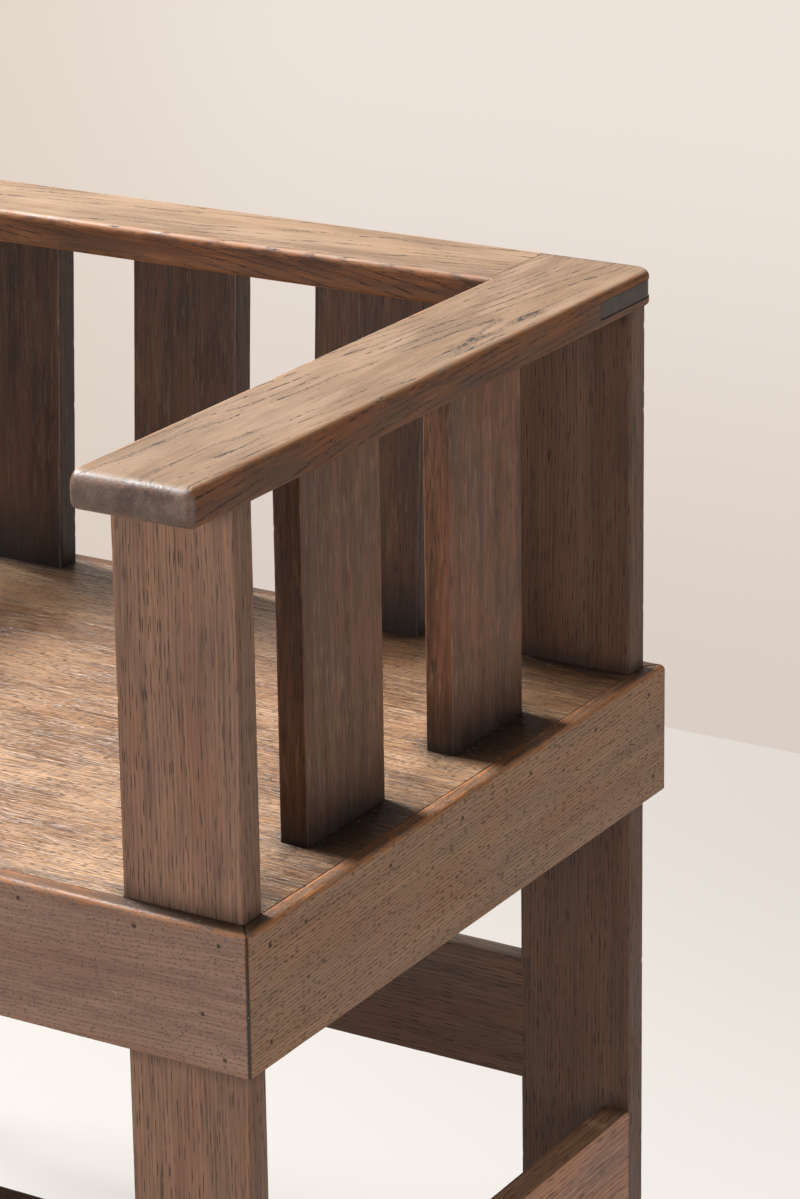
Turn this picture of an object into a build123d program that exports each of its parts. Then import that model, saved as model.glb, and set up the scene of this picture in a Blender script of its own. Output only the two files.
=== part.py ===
from build123d import *
from math import radians, tan
import os

os.makedirs("parts", exist_ok=True)

# Low-back oak armchair of flat boards. Millimetres, +Z up, front towards -Y.
# The origin is on the floor, in the middle of the whole chair's plan.
# Left and right are as seen from the front.

# Seat frame
seat_width = 668.0  # over the side aprons' outer faces
seat_depth = 468.0  # over the front and rear aprons' outer faces
seat_height = 435.0  # floor to the top of the seat boards
apron_height = 82.0
front_apron_thickness = 12.0
side_apron_thickness = 10.0
rear_apron_thickness = 10.0
apron_top_radius = 3.0  # worn outer top edge
apron_edge_radius = 1.2

# Seat boards, grain from side to side
seat_thickness = 18.0
seat_joint_setback = 228.5  # front apron's face to the joint between the two wide boards
seat_strip_width = 25.0  # narrow board that carries the back slats
seat_arris = 0.6
leg_notch_clearance = 0.3
cleat_width = 20.0
cleat_height = 22.0
cleat_end_gap = 0.5

# Legs, boards that run from the floor to the arms, wide side to the front
leg_width = 76.0
leg_thickness = 18.0
leg_edge_radius = 1.2
leg_tenon_shoulder = 10.0
leg_tenon_thickness = 8.0
leg_tenon_length = 12.0
foot_chamfer = 1.0

# Arms and back rail, one level
arm_clear_height = 228.5  # seat top to the underside of the arms
arm_thickness = 21.0
arm_width = 76.0
arm_side_overhang = 3.0  # past the legs' outer edges
arm_front_overhang = 30.0  # past the front apron's face
arm_rear_radius = 14.0  # rear outer corner, in plan
arm_front_radius = 5.0  # front corners, in plan
arm_top_radius = 4.0
arm_under_radius = 1.5
rail_width = 71.0
tongue_thickness = 11.0  # rail's tongue in the open slot of each arm

# Slats
slat_thickness = 17.0
slat_edge_radius = 1.2
side_slat_width = 79.0
side_slat_pitch = 156.5
back_slat_width = 74.5
back_slat_pitch = 136.5
back_slat_count = 3
back_slat_rake = 3.0  # degrees from upright, leaning back
back_slat_inset = 32.0  # rear apron's face to the front of a slat's foot
slat_tenon_shoulder = 8.0
slat_tenon_thickness = 9.0
slat_tenon_length = 11.0

# Stretchers
stretcher_height = 82.0
long_stretcher_top = 231.0  # front and rear stretchers, above the floor
side_stretcher_top = 143.0
long_stretcher_thickness = 15.5
side_stretcher_thickness = 19.0
stretcher_edge_radius = 1.2
stretcher_tenon_thickness = 8.0
stretcher_tenon_shoulder = 10.0
side_stretcher_tenon_length = 12.0
long_stretcher_tenon_length = 22.0

# Lost-head nails through the aprons
nail_radius = 1.2
nail_length = 26.0
nail_punch_depth = 0.8  # heads driven below the surface
nail_clearance = 0.1
long_nail_drop = 9.0  # top row of the front and rear aprons, below their top
side_nail_drop = 13.0  # lower than the long row, so that nails pass at the corners
front_nail_shares = (0.027, 0.107, 0.22, 0.335, 0.45)  # of the seat width, from each end
rear_nail_shares = (0.027, 0.107, 0.22, 0.398)  # clear of the back slats' tenons
side_nail_shares = (0.047, 0.122, 0.307, 0.474, 0.641, 0.808, 0.953)  # of the seat depth
long_low_nail_shares = ((0.024, 0.9), (0.044, 0.61))  # along from an end, down the apron
side_low_nail_shares = ((0.045, 0.83), (0.965, 0.83))

# Fits
mortise_clearance = 0.15  # each side of a tenon
mortise_end_gap = 0.8
overrun = 5.0  # how far a cut runs past its face

# Places worked out from the sizes above
half_width = seat_width / 2
front_y = (arm_front_overhang - seat_depth) / 2
rear_y = front_y + seat_depth
arm_front_y = front_y - arm_front_overhang
front_inner_y = front_y + front_apron_thickness
rear_inner_y = rear_y - rear_apron_thickness
leg_outer_x = half_width - side_apron_thickness
leg_inner_x = leg_outer_x - leg_width
leg_centre_x = leg_outer_x - leg_width / 2
front_leg_y = front_inner_y + leg_thickness / 2
rear_leg_y = rear_inner_y - leg_thickness / 2
seat_joint_y = front_y + seat_joint_setback
strip_front_y = rear_inner_y - seat_strip_width
cleat_top_z = seat_height - seat_thickness
arm_bottom_z = seat_height + arm_clear_height
arm_outer_x = leg_outer_x + arm_side_overhang
arm_inner_x = arm_outer_x - arm_width
arm_centre_x = arm_outer_x - arm_width / 2
rail_inner_y = rear_y - rail_width
rail_centre_y = rear_y - rail_width / 2
tongue_bottom_z = arm_bottom_z + (arm_thickness - tongue_thickness) / 2
side_slat_mid_y = (front_leg_y + rear_leg_y) / 2
side_slat_ys = (side_slat_mid_y - side_slat_pitch / 2, side_slat_mid_y + side_slat_pitch / 2)
back_slat_foot_y = rear_y - back_slat_inset
back_slat_xs = [back_slat_pitch * (i - (back_slat_count - 1) / 2) for i in range(back_slat_count)]
slat_tenon_inset = (slat_thickness - slat_tenon_thickness) / 2
slat_mortise_depth = slat_tenon_length + mortise_end_gap
side_slat_tenon_width = side_slat_width - 2 * slat_tenon_shoulder
back_slat_tenon_width = back_slat_width - 2 * slat_tenon_shoulder
leg_tenon_width = leg_width - 2 * leg_tenon_shoulder
leg_mortise_depth = leg_tenon_length + mortise_end_gap
stretcher_tenon_height = stretcher_height - 2 * stretcher_tenon_shoulder
nail_hole_depth = nail_punch_depth + nail_length
sides = {"left": -1, "right": 1}
leg_places = [(side * leg_centre_x, y) for side in sides.values() for y in (front_leg_y, rear_leg_y)]
side_slat_places = [(side * arm_centre_x, y) for side in sides.values() for y in side_slat_ys]


def finish(piece, name):
    # label a finished piece and write it out
    piece.label = name
    export_step(piece, f"parts/{name}.step")


def mortise(size):
    # opening for a tenon of this size, with the clearance on both sides
    return size + 2 * mortise_clearance


def nail_places(rows, out_turn):
    # holes drilled along -Z of each place, which points out of the apron's face
    return [Location(point, out_turn) for point in rows]


def long_apron_rows(y, shares):
    # top row and corner nails of the front or rear apron, at its outer face
    rows = [(share * seat_width, long_nail_drop) for share in shares]
    rows += [(along * seat_width, down * apron_height) for along, down in long_low_nail_shares]
    return [
        (side * (half_width - inset), y, seat_height - drop)
        for inset, drop in rows
        for side in sides.values()
    ]


def side_apron_rows(side):
    # top row and corner nails of a side apron, at its outer face
    rows = [(share * seat_depth, side_nail_drop) for share in side_nail_shares]
    rows += [(along * seat_depth, down * apron_height) for along, down in side_low_nail_shares]
    return [(side * half_width, front_y + along, seat_height - drop) for along, drop in rows]


front_nails = nail_places(long_apron_rows(front_y, front_nail_shares), (90, 0, 0))
rear_nails = nail_places(long_apron_rows(rear_y, rear_nail_shares), (-90, 0, 0))
right_nails = nail_places(side_apron_rows(1), (0, 90, 0))
left_nails = nail_places(side_apron_rows(-1), (0, -90, 0))
all_nails = front_nails + rear_nails + right_nails + left_nails


# Aprons, mitred at the corners of the seat frame
def make_apron(plane, outward, thickness, outer_place, length, corners, nails):
    # plane: where the board's section lies; outward: +1 or -1 along its x
    # corners: mitred plan outline
    with BuildPart() as apron:
        with BuildSketch(plane):
            with Locations((outer_place - outward * thickness / 2, seat_height - apron_height / 2)):
                section = Rectangle(thickness, apron_height)
            outer = section.vertices().group_by(Axis.X)[-1 if outward > 0 else 0].sort_by(Axis.Y)
            fillet(outer[-1], apron_top_radius)
            fillet(outer[0], apron_edge_radius)
        extrude(amount=length / 2, both=True)
        with BuildSketch(Plane.XY.offset(seat_height - apron_height)):
            with BuildLine():
                Polyline(*corners, close=True)
            make_face()
        extrude(amount=apron_height, mode=Mode.INTERSECT)
        with Locations(*nails):
            Hole(nail_radius + nail_clearance, nail_hole_depth)
    return apron.part


def mitred(outer, inner):
    # plan outline of an apron from its outer and inner edges
    return [outer[0], outer[1], inner[1], inner[0]]


front_corners = mitred(
    [(-half_width, front_y), (half_width, front_y)],
    [(-leg_outer_x, front_inner_y), (leg_outer_x, front_inner_y)],
)
rear_corners = mitred(
    [(-half_width, rear_y), (half_width, rear_y)],
    [(-leg_outer_x, rear_inner_y), (leg_outer_x, rear_inner_y)],
)
finish(
    make_apron(Plane.YZ, -1, front_apron_thickness, front_y, seat_width, front_corners, front_nails),
    "apron_front",
)
finish(
    make_apron(Plane.YZ, 1, rear_apron_thickness, rear_y, seat_width, rear_corners, rear_nails),
    "apron_rear",
)
for name, side in sides.items():
    side_corners = mitred(
        [(side * half_width, front_y), (side * half_width, rear_y)],
        [(side * leg_outer_x, front_inner_y), (side * leg_outer_x, rear_inner_y)],
    )
    side_plane = Plane.XZ.offset(-(front_y + rear_y) / 2)
    side_nails = right_nails if side > 0 else left_nails
    outer_x = side * half_width
    finish(
        make_apron(side_plane, side, side_apron_thickness, outer_x, seat_depth, side_corners, side_nails),
        f"apron_{name}",
    )


# Legs, tenoned into the arms and mortised for the stretchers
def make_leg(side, centre_y, inward):
    # inward: +1 where the middle of the chair lies towards +Y, as at the front
    face_y = centre_y + inward * leg_thickness / 2
    side_mortise_x = side * (leg_outer_x - side_stretcher_thickness / 2)
    long_mortise_y = face_y - inward * long_stretcher_thickness / 2
    mortise_height = mortise(stretcher_tenon_height)
    mortise_thickness = mortise(stretcher_tenon_thickness)
    with BuildPart() as leg:
        with BuildSketch():
            with Locations((side * leg_centre_x, centre_y)):
                RectangleRounded(leg_width, leg_thickness, leg_edge_radius)
        extrude(amount=arm_bottom_z)
        chamfer(leg.faces().sort_by(Axis.Z)[0].edges(), foot_chamfer)
        with BuildSketch(Plane.XY.offset(arm_bottom_z)):
            with Locations((side * leg_centre_x, centre_y)):
                Rectangle(leg_tenon_width, leg_tenon_thickness)
        extrude(amount=leg_tenon_length)
        # side stretcher, into the wide face near the outer edge
        with BuildSketch(Plane.XZ.offset(-face_y)):
            with Locations((side_mortise_x, side_stretcher_top - stretcher_height / 2)):
                Rectangle(mortise_thickness, mortise_height)
        extrude(amount=inward * (side_stretcher_tenon_length + mortise_end_gap), mode=Mode.SUBTRACT)
        # front or rear stretcher, into the inner edge
        with BuildSketch(Plane.YZ.offset(side * leg_inner_x)):
            with Locations((long_mortise_y, long_stretcher_top - stretcher_height / 2)):
                Rectangle(mortise_thickness, mortise_height)
        extrude(amount=side * (long_stretcher_tenon_length + mortise_end_gap), mode=Mode.SUBTRACT)
        with Locations(*all_nails):
            Hole(nail_radius + nail_clearance, nail_hole_depth)
    return leg.part


for name, side in sides.items():
    finish(make_leg(side, front_leg_y, 1), f"leg_front_{name}")
    finish(make_leg(side, rear_leg_y, -1), f"leg_rear_{name}")


# Arms, with an open slot at the rear for the rail's tongue
def make_arm(side):
    length = rear_y - arm_front_y
    with BuildPart() as arm:
        with BuildSketch(Plane.XY.offset(arm_bottom_z)):
            with Locations((side * arm_centre_x, (arm_front_y + rear_y) / 2)):
                plan = Rectangle(arm_width, length)
            front_pair = plan.vertices().group_by(Axis.Y)[0]
            rear_outer = plan.vertices().group_by(Axis.Y)[-1].sort_by(Axis((0, 0, 0), (side, 0, 0)))[-1]
            fillet(front_pair, arm_front_radius)
            fillet(rear_outer, arm_rear_radius)
        extrude(amount=arm_thickness)
        fillet(arm.faces().sort_by(Axis.Z)[-1].edges(), arm_top_radius)
        fillet(arm.faces().sort_by(Axis.Z)[0].edges(), arm_under_radius)
        # full-section inner edge where the rail butts against the arm
        with BuildSketch(Plane.YZ.offset(side * arm_inner_x)):
            with Locations((rail_centre_y, arm_bottom_z + arm_thickness / 2)):
                joint = Rectangle(rail_width, arm_thickness)
            rear_pair = joint.vertices().group_by(Axis.X)[-1].sort_by(Axis.Y)
            fillet(rear_pair[-1], arm_top_radius)
            fillet(rear_pair[0], arm_under_radius)
        extrude(amount=side * arm_top_radius)
        # open slot
        with BuildSketch(Plane.XY.offset(tongue_bottom_z)):
            with Locations((side * arm_centre_x, rail_inner_y)):
                Rectangle(arm_width + 2 * overrun, rail_width + overrun, align=(Align.CENTER, Align.MIN))
        extrude(amount=tongue_thickness, mode=Mode.SUBTRACT)
        # mortises under the arm, two for the legs and one for each slat
        with BuildSketch(Plane.XY.offset(arm_bottom_z)):
            with Locations((side * leg_centre_x, front_leg_y), (side * leg_centre_x, rear_leg_y)):
                Rectangle(mortise(leg_tenon_width), mortise(leg_tenon_thickness))
        extrude(amount=leg_mortise_depth, mode=Mode.SUBTRACT)
        with BuildSketch(Plane.XY.offset(arm_bottom_z)):
            with Locations(*[(side * arm_centre_x, y) for y in side_slat_ys]):
                Rectangle(mortise(slat_tenon_thickness), mortise(side_slat_tenon_width))
        extrude(amount=slat_mortise_depth, mode=Mode.SUBTRACT)
    return arm.part


for name, side in sides.items():
    finish(make_arm(side), f"arm_{name}")


def raked_outline(inset, below, above):
    # side view of a back slat or its tenons, inset from the slat's faces
    slope = tan(radians(back_slat_rake))
    low_z, high_z = seat_height - below, arm_bottom_z + above
    low_y = back_slat_foot_y - slope * below
    high_y = back_slat_foot_y + slope * (high_z - seat_height)
    return [
        (low_y + inset, low_z),
        (low_y + slat_thickness - inset, low_z),
        (high_y + slat_thickness - inset, high_z),
        (high_y + inset, high_z),
    ]


# Back rail, its full-width tongues running through the arms to their rounded corners
with BuildPart() as back_rail:
    with BuildSketch(Plane.YZ):
        with Locations((rail_centre_y, arm_bottom_z + arm_thickness / 2)):
            section = Rectangle(rail_width, arm_thickness)
        fillet(section.vertices().group_by(Axis.Y)[-1], arm_top_radius)
        fillet(section.vertices().group_by(Axis.Y)[0], arm_under_radius)
    extrude(amount=arm_inner_x, both=True)
    with BuildSketch(Plane.XY.offset(tongue_bottom_z)):
        with Locations((0, rail_centre_y)):
            tongue = Rectangle(2 * arm_outer_x, rail_width)
        fillet(tongue.vertices().group_by(Axis.Y)[-1], arm_rear_radius)
    extrude(amount=tongue_thickness)
    # the rear legs' tenons pass the arms' lower cheeks and lock the tongues
    with BuildSketch(Plane.XY.offset(arm_bottom_z)):
        with Locations((-leg_centre_x, rear_leg_y), (leg_centre_x, rear_leg_y)):
            Rectangle(mortise(leg_tenon_width), mortise(leg_tenon_thickness))
    extrude(amount=leg_mortise_depth, mode=Mode.SUBTRACT)
    slat_mortise = raked_outline(slat_tenon_inset - mortise_clearance, 0, slat_mortise_depth)
    for x in back_slat_xs:
        with BuildSketch(Plane.YZ.offset(x)):
            with BuildLine():
                Polyline(*slat_mortise, close=True)
            make_face()
        extrude(amount=mortise(back_slat_tenon_width) / 2, both=True, mode=Mode.SUBTRACT)
finish(back_rail.part, "back_rail")


# Back slats, raked, with stub tenons that follow the rake
def make_back_slat(x):
    tenons = raked_outline(slat_tenon_inset, slat_tenon_length, slat_tenon_length)
    with BuildPart() as slat:
        with BuildSketch(Plane.YZ.offset(x)):
            with BuildLine():
                Polyline(*raked_outline(0, 0, 0), close=True)
            make_face()
        extrude(amount=back_slat_width / 2, both=True)
        fillet(slat.faces().filter_by(Axis.X).edges().sort_by(SortBy.LENGTH)[-4:], slat_edge_radius)
        with BuildSketch(Plane.YZ.offset(x)):
            with BuildLine():
                Polyline(*tenons, close=True)
            make_face()
        extrude(amount=back_slat_tenon_width / 2, both=True)
    return slat.part


back_names = ["left", "centre", "right"]
for i, x in enumerate(back_slat_xs):
    name = back_names[i] if i < len(back_names) else str(i + 1)
    finish(make_back_slat(x), f"back_slat_{name}")


# Side slats, centred under the arms
def make_side_slat(side, centre_y):
    with BuildPart() as slat:
        with BuildSketch(Plane.XY.offset(seat_height)):
            with Locations((side * arm_centre_x, centre_y)):
                RectangleRounded(slat_thickness, side_slat_width, slat_edge_radius)
        extrude(amount=arm_clear_height)
        with BuildSketch(Plane.XY.offset(seat_height - slat_tenon_length)):
            with Locations((side * arm_centre_x, centre_y)):
                Rectangle(slat_tenon_thickness, side_slat_tenon_width)
        extrude(amount=arm_clear_height + 2 * slat_tenon_length)
    return slat.part


for name, side in sides.items():
    for place, y in zip(("front", "rear"), side_slat_ys):
        finish(make_side_slat(side, y), f"side_slat_{name}_{place}")


# Seat boards, flush with the aprons' tops and notched round the legs
def cross_edges(board):
    # top edges that run from side to side, ordered front to back
    return board.edges().filter_by(Axis.X).group_by(Axis.Z)[-1].sort_by(Axis.Y)


def make_seat_board(low_y, high_y):
    slat_mortise = raked_outline(slat_tenon_inset - mortise_clearance, slat_mortise_depth, 0)
    with BuildPart() as board:
        with BuildSketch(Plane.XY.offset(seat_height - seat_thickness)):
            with Locations((0, (low_y + high_y) / 2)):
                Rectangle(2 * leg_outer_x, high_y - low_y)
            with Locations(*leg_places):
                Rectangle(
                    leg_width + 2 * leg_notch_clearance,
                    leg_thickness + 2 * leg_notch_clearance,
                    mode=Mode.SUBTRACT,
                )
        extrude(amount=seat_thickness)
        if low_y > front_inner_y:
            chamfer(cross_edges(board)[0], seat_arris)
        if high_y < rear_inner_y:
            chamfer(cross_edges(board)[-1], seat_arris)
        # side slats' mortises
        with BuildSketch(Plane.XY.offset(seat_height)):
            with Locations(*side_slat_places):
                Rectangle(mortise(slat_tenon_thickness), mortise(side_slat_tenon_width))
        extrude(amount=-slat_mortise_depth, mode=Mode.SUBTRACT)
        # back slats' mortises
        for x in back_slat_xs:
            with BuildSketch(Plane.YZ.offset(x)):
                with BuildLine():
                    Polyline(*slat_mortise, close=True)
                make_face()
            extrude(amount=mortise(back_slat_tenon_width) / 2, both=True, mode=Mode.SUBTRACT)
        with Locations(*all_nails):
            Hole(nail_radius + nail_clearance, nail_hole_depth)
    return board.part


finish(make_seat_board(front_inner_y, seat_joint_y), "seat_board_front")
finish(make_seat_board(seat_joint_y, strip_front_y), "seat_board_rear")
finish(make_seat_board(strip_front_y, rear_inner_y), "seat_strip_rear")


# Cleats glued inside the aprons, under the seat boards
def make_cleat(centre, length, across):
    # across: the section's size square to the cleat's length, in plan
    with BuildPart() as cleat:
        with BuildSketch(Plane.XY.offset(cleat_top_z - cleat_height)):
            with Locations(centre):
                Rectangle(length, across)
        extrude(amount=cleat_height)
    return cleat.part


long_cleat_length = 2 * (leg_inner_x - cleat_end_gap)
side_cleat_length = rear_leg_y - front_leg_y - leg_thickness - 2 * cleat_end_gap
finish(make_cleat((0, front_inner_y + cleat_width / 2), long_cleat_length, cleat_width), "seat_cleat_front")
finish(make_cleat((0, rear_inner_y - cleat_width / 2), long_cleat_length, cleat_width), "seat_cleat_rear")
for name, side in sides.items():
    side_cleat_place = (side * (leg_outer_x - cleat_width / 2), side_slat_mid_y)
    finish(make_cleat(side_cleat_place, cleat_width, side_cleat_length), f"seat_cleat_{name}")


# Front and rear stretchers, tenoned into the legs' inner edges
def make_long_stretcher(centre_y):
    centre_z = long_stretcher_top - stretcher_height / 2
    with BuildPart() as stretcher:
        with BuildSketch(Plane.YZ):
            with Locations((centre_y, centre_z)):
                RectangleRounded(long_stretcher_thickness, stretcher_height, stretcher_edge_radius)
        extrude(amount=leg_inner_x, both=True)
        with BuildSketch(Plane.YZ):
            with Locations((centre_y, centre_z)):
                Rectangle(stretcher_tenon_thickness, stretcher_tenon_height)
        extrude(amount=leg_inner_x + long_stretcher_tenon_length, both=True)
    return stretcher.part


front_stretcher_y = front_leg_y + (leg_thickness - long_stretcher_thickness) / 2
rear_stretcher_y = rear_leg_y - (leg_thickness - long_stretcher_thickness) / 2
finish(make_long_stretcher(front_stretcher_y), "stretcher_front")
finish(make_long_stretcher(rear_stretcher_y), "stretcher_rear")


# Side stretchers, flush with the legs' outer edges
def make_side_stretcher(side):
    half_length = (rear_leg_y - front_leg_y - leg_thickness) / 2
    centre = (side * (leg_outer_x - side_stretcher_thickness / 2), side_stretcher_top - stretcher_height / 2)
    with BuildPart() as stretcher:
        with BuildSketch(Plane.XZ.offset(-side_slat_mid_y)):
            with Locations(centre):
                RectangleRounded(side_stretcher_thickness, stretcher_height, stretcher_edge_radius)
        extrude(amount=half_length, both=True)
        with BuildSketch(Plane.XZ.offset(-side_slat_mid_y)):
            with Locations(centre):
                Rectangle(stretcher_tenon_thickness, stretcher_tenon_height)
        extrude(amount=half_length + side_stretcher_tenon_length, both=True)
    return stretcher.part


for name, side in sides.items():
    finish(make_side_stretcher(side), f"stretcher_{name}")


# Nails, their tips at the bottoms of their holes
with BuildPart() as apron_nails:
    with Locations(*[place * Location((0, 0, -nail_punch_depth)) for place in all_nails]):
        Cylinder(nail_radius, nail_length, align=(Align.CENTER, Align.CENTER, Align.MAX))
finish(apron_nails.part, "apron_nails")
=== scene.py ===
import math

import bmesh
import bpy
import numpy as np
from mathutils import Matrix, Vector


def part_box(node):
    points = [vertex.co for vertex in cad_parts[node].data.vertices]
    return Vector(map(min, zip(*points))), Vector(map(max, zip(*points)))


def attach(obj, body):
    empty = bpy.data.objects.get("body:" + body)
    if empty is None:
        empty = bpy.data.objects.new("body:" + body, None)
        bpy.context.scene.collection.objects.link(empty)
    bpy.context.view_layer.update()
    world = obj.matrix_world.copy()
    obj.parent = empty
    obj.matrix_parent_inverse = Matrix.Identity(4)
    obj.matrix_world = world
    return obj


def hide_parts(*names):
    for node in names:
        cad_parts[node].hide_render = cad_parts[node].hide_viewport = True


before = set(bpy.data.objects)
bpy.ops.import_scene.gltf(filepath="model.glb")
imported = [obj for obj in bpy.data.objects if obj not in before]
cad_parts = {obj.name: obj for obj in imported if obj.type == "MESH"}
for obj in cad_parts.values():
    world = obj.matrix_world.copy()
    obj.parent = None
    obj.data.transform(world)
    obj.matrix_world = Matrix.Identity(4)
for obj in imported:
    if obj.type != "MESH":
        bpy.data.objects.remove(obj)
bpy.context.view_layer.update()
print("frame loaded,", len(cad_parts), "nodes")

mm = 0.001
upAxis = Vector((0, 0, 1))
sides = {"left": -1, "right": 1}

# Short names for nodes. Each gives Blender's node, its settings, the inputs that values fill in turn,
# and the output handed back, or None for all of them
nodeKinds = {
    "smooth": (
        "ShaderNodeMapRange", {"interpolation_type": "SMOOTHSTEP"},
        ("Value", "From Min", "From Max", "To Min", "To Max"), 0,
    ),
    "mixColour": ("ShaderNodeMix", {"data_type": "RGBA"}, (0, 6, 7), 2),
    "noise": ("ShaderNodeTexNoise", {}, ("Vector", "Scale", "Detail", "Roughness"), None),
    "cells": ("ShaderNodeTexVoronoi", {}, ("Vector", "Scale"), None),
    "split": ("ShaderNodeSeparateXYZ", {}, (0,), None),
    "splitColour": ("ShaderNodeSeparateColor", {}, (0,), None),
    "join": ("ShaderNodeCombineXYZ", {}, (0, 1, 2), 0),
    "scale": ("ShaderNodeVectorMath", {"operation": "SCALE"}, (0, "Scale"), 0),
    "openness": ("ShaderNodeAmbientOcclusion", {"samples": 3}, ("Distance",), "AO"),
    "bump": ("ShaderNodeBump", {}, ("Height", "Strength", "Distance"), 0),
    "vectorNamed": ("GeometryNodeInputNamedAttribute", {"data_type": "FLOAT_VECTOR"}, ("Name",), 0),
    "numberNamed": ("GeometryNodeInputNamedAttribute", {"data_type": "FLOAT"}, ("Name",), 0),
}
operations = {
    "plus": "ADD", "minus": "SUBTRACT", "times": "MULTIPLY", "over": "DIVIDE", "timesPlus": "MULTIPLY_ADD",
    "lower": "MINIMUM", "higher": "MAXIMUM", "below": "LESS_THAN", "size": "ABSOLUTE", "root": "SQRT",
    "fraction": "FRACT", "pingPong": "PINGPONG", "sine": "SINE",
}
for word, operation in operations.items():
    nodeKinds[word] = ("ShaderNodeMath", {"operation": operation}, (0, 1, 2), 0)
    nodeKinds["vector " + word] = ("ShaderNodeVectorMath", {"operation": operation}, (0, 1, 2), 0)


def adderFor(tree):
    def add(kind, *inputs, **settings):
        # one node with its settings, and a value or a link for each input: in turn, or a dictionary of names
        blenderKind, ready, sockets, wanted = nodeKinds.get(kind, (kind, {}, range(9), None))
        node = tree.nodes.new(blenderKind)
        for name, value in {**ready, **settings}.items():
            setattr(node, name, value)
        named = inputs[0] if inputs and isinstance(inputs[0], dict) else dict(zip(sockets, inputs))
        for socket, value in named.items():
            if isinstance(value, bpy.types.NodeSocket):
                tree.links.new(value, node.inputs[socket])
            else:
                node.inputs[socket].default_value = value
        return node.outputs if wanted is None else node.outputs[wanted]

    return add


def emptyNodes(owner):
    # clears a material's or the world's nodes and gives the function that adds new ones
    owner.use_nodes = True
    owner.node_tree.nodes.clear()
    return adderFor(owner.node_tree)


def linear(hexColour):
    # sRGB hex to the linear colour that nodes want
    parts = [int(hexColour[i:i + 2], 16) / 255 for i in (1, 3, 5)]
    return (*(p / 12.92 if p <= 0.04045 else ((p + 0.055) / 1.055) ** 2.4 for p in parts), 1.0)


def newObject(name, data):
    thing = bpy.data.objects.new(name, data)
    bpy.context.scene.collection.objects.link(thing)
    return thing


# Boards: each carries its own measures, so that one finish suits all of them
# boardPoint is the place on the board in mm, grain first, then its wide and its thin side
# boardHalf is half its size the same way, boardSeed tells one plank from another
# boardTone is how bright it is, in places painted light and shade, and boardWear is 0 where an edge is a
# joint
boardMake = {
    "arcSteps": 4,  # facets of each rounded arris
    "step": 2.5 * mm,  # along the grain, fine enough for nicks
    "holds": (1.0 * mm, 3.0 * mm, 7.0 * mm),  # extra rows beside an arris
    "jointedEnd": 1000.0,  # mm
    "span": 14 * mm,  # widest row of the flats
    "sharpAngle": 40,  # degrees
    "merge": 0.002 * mm,
}


def boardOrder(grain, size):
    # axes in the order grain, wide, thin
    return [grain] + sorted((a for a in range(3) if a != grain), key=lambda a: -size[a])


def flatRows(length):
    # places along a flat, close together beside its two arrises
    near = [h for h in boardMake["holds"] if 2.5 * h < length]
    inner = near[-1] if near else 0
    count = max(1, round((length - 2 * inner) / boardMake["span"]))
    middle = [inner + (length - 2 * inner) * k / count for k in range(count + 1)]
    return [r for r in sorted(set(near + middle + [length - h for h in near])) if 0 < r < length]


def sectionLoop(halfA, halfB, radii):
    # closed loop round a board's section, with the radius of each corner by its signs
    corners = [(1, 1), (-1, 1), (-1, -1), (1, -1)]
    centres = [
        np.array([a * (halfA - radii[(a, b)]), b * (halfB - radii[(a, b)])]) for a, b in corners
    ]
    places, normals = [], []
    for number, signs in enumerate(corners):
        for k in range(boardMake["arcSteps"] + 1):
            angle = math.pi / 2 * (number + k / boardMake["arcSteps"])
            direction = np.array([math.cos(angle), math.sin(angle)])
            places.append(centres[number] + radii[signs] * direction)
            normals.append(direction)
        along = np.array([-direction[1], direction[0]])
        after = (number + 1) % 4
        flatStart, flatEnd = places[-1], centres[after] + radii[corners[after]] * direction
        for row in flatRows(np.linalg.norm(flatEnd - flatStart)):
            places.append(flatStart + along * row)
            normals.append(direction)
    return np.array(places), np.array(normals)


def loopFaces(rings, size):
    # quads between rings of vertices, and a face to close each end
    faces = [tuple(reversed(range(size))), tuple(range((rings - 1) * size, rings * size))]
    for base in range(0, (rings - 1) * size, size):
        for k in range(size):
            after = (k + 1) % size
            faces.append((base + k, base + after, base + size + after, base + size + k))
    return faces


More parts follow.
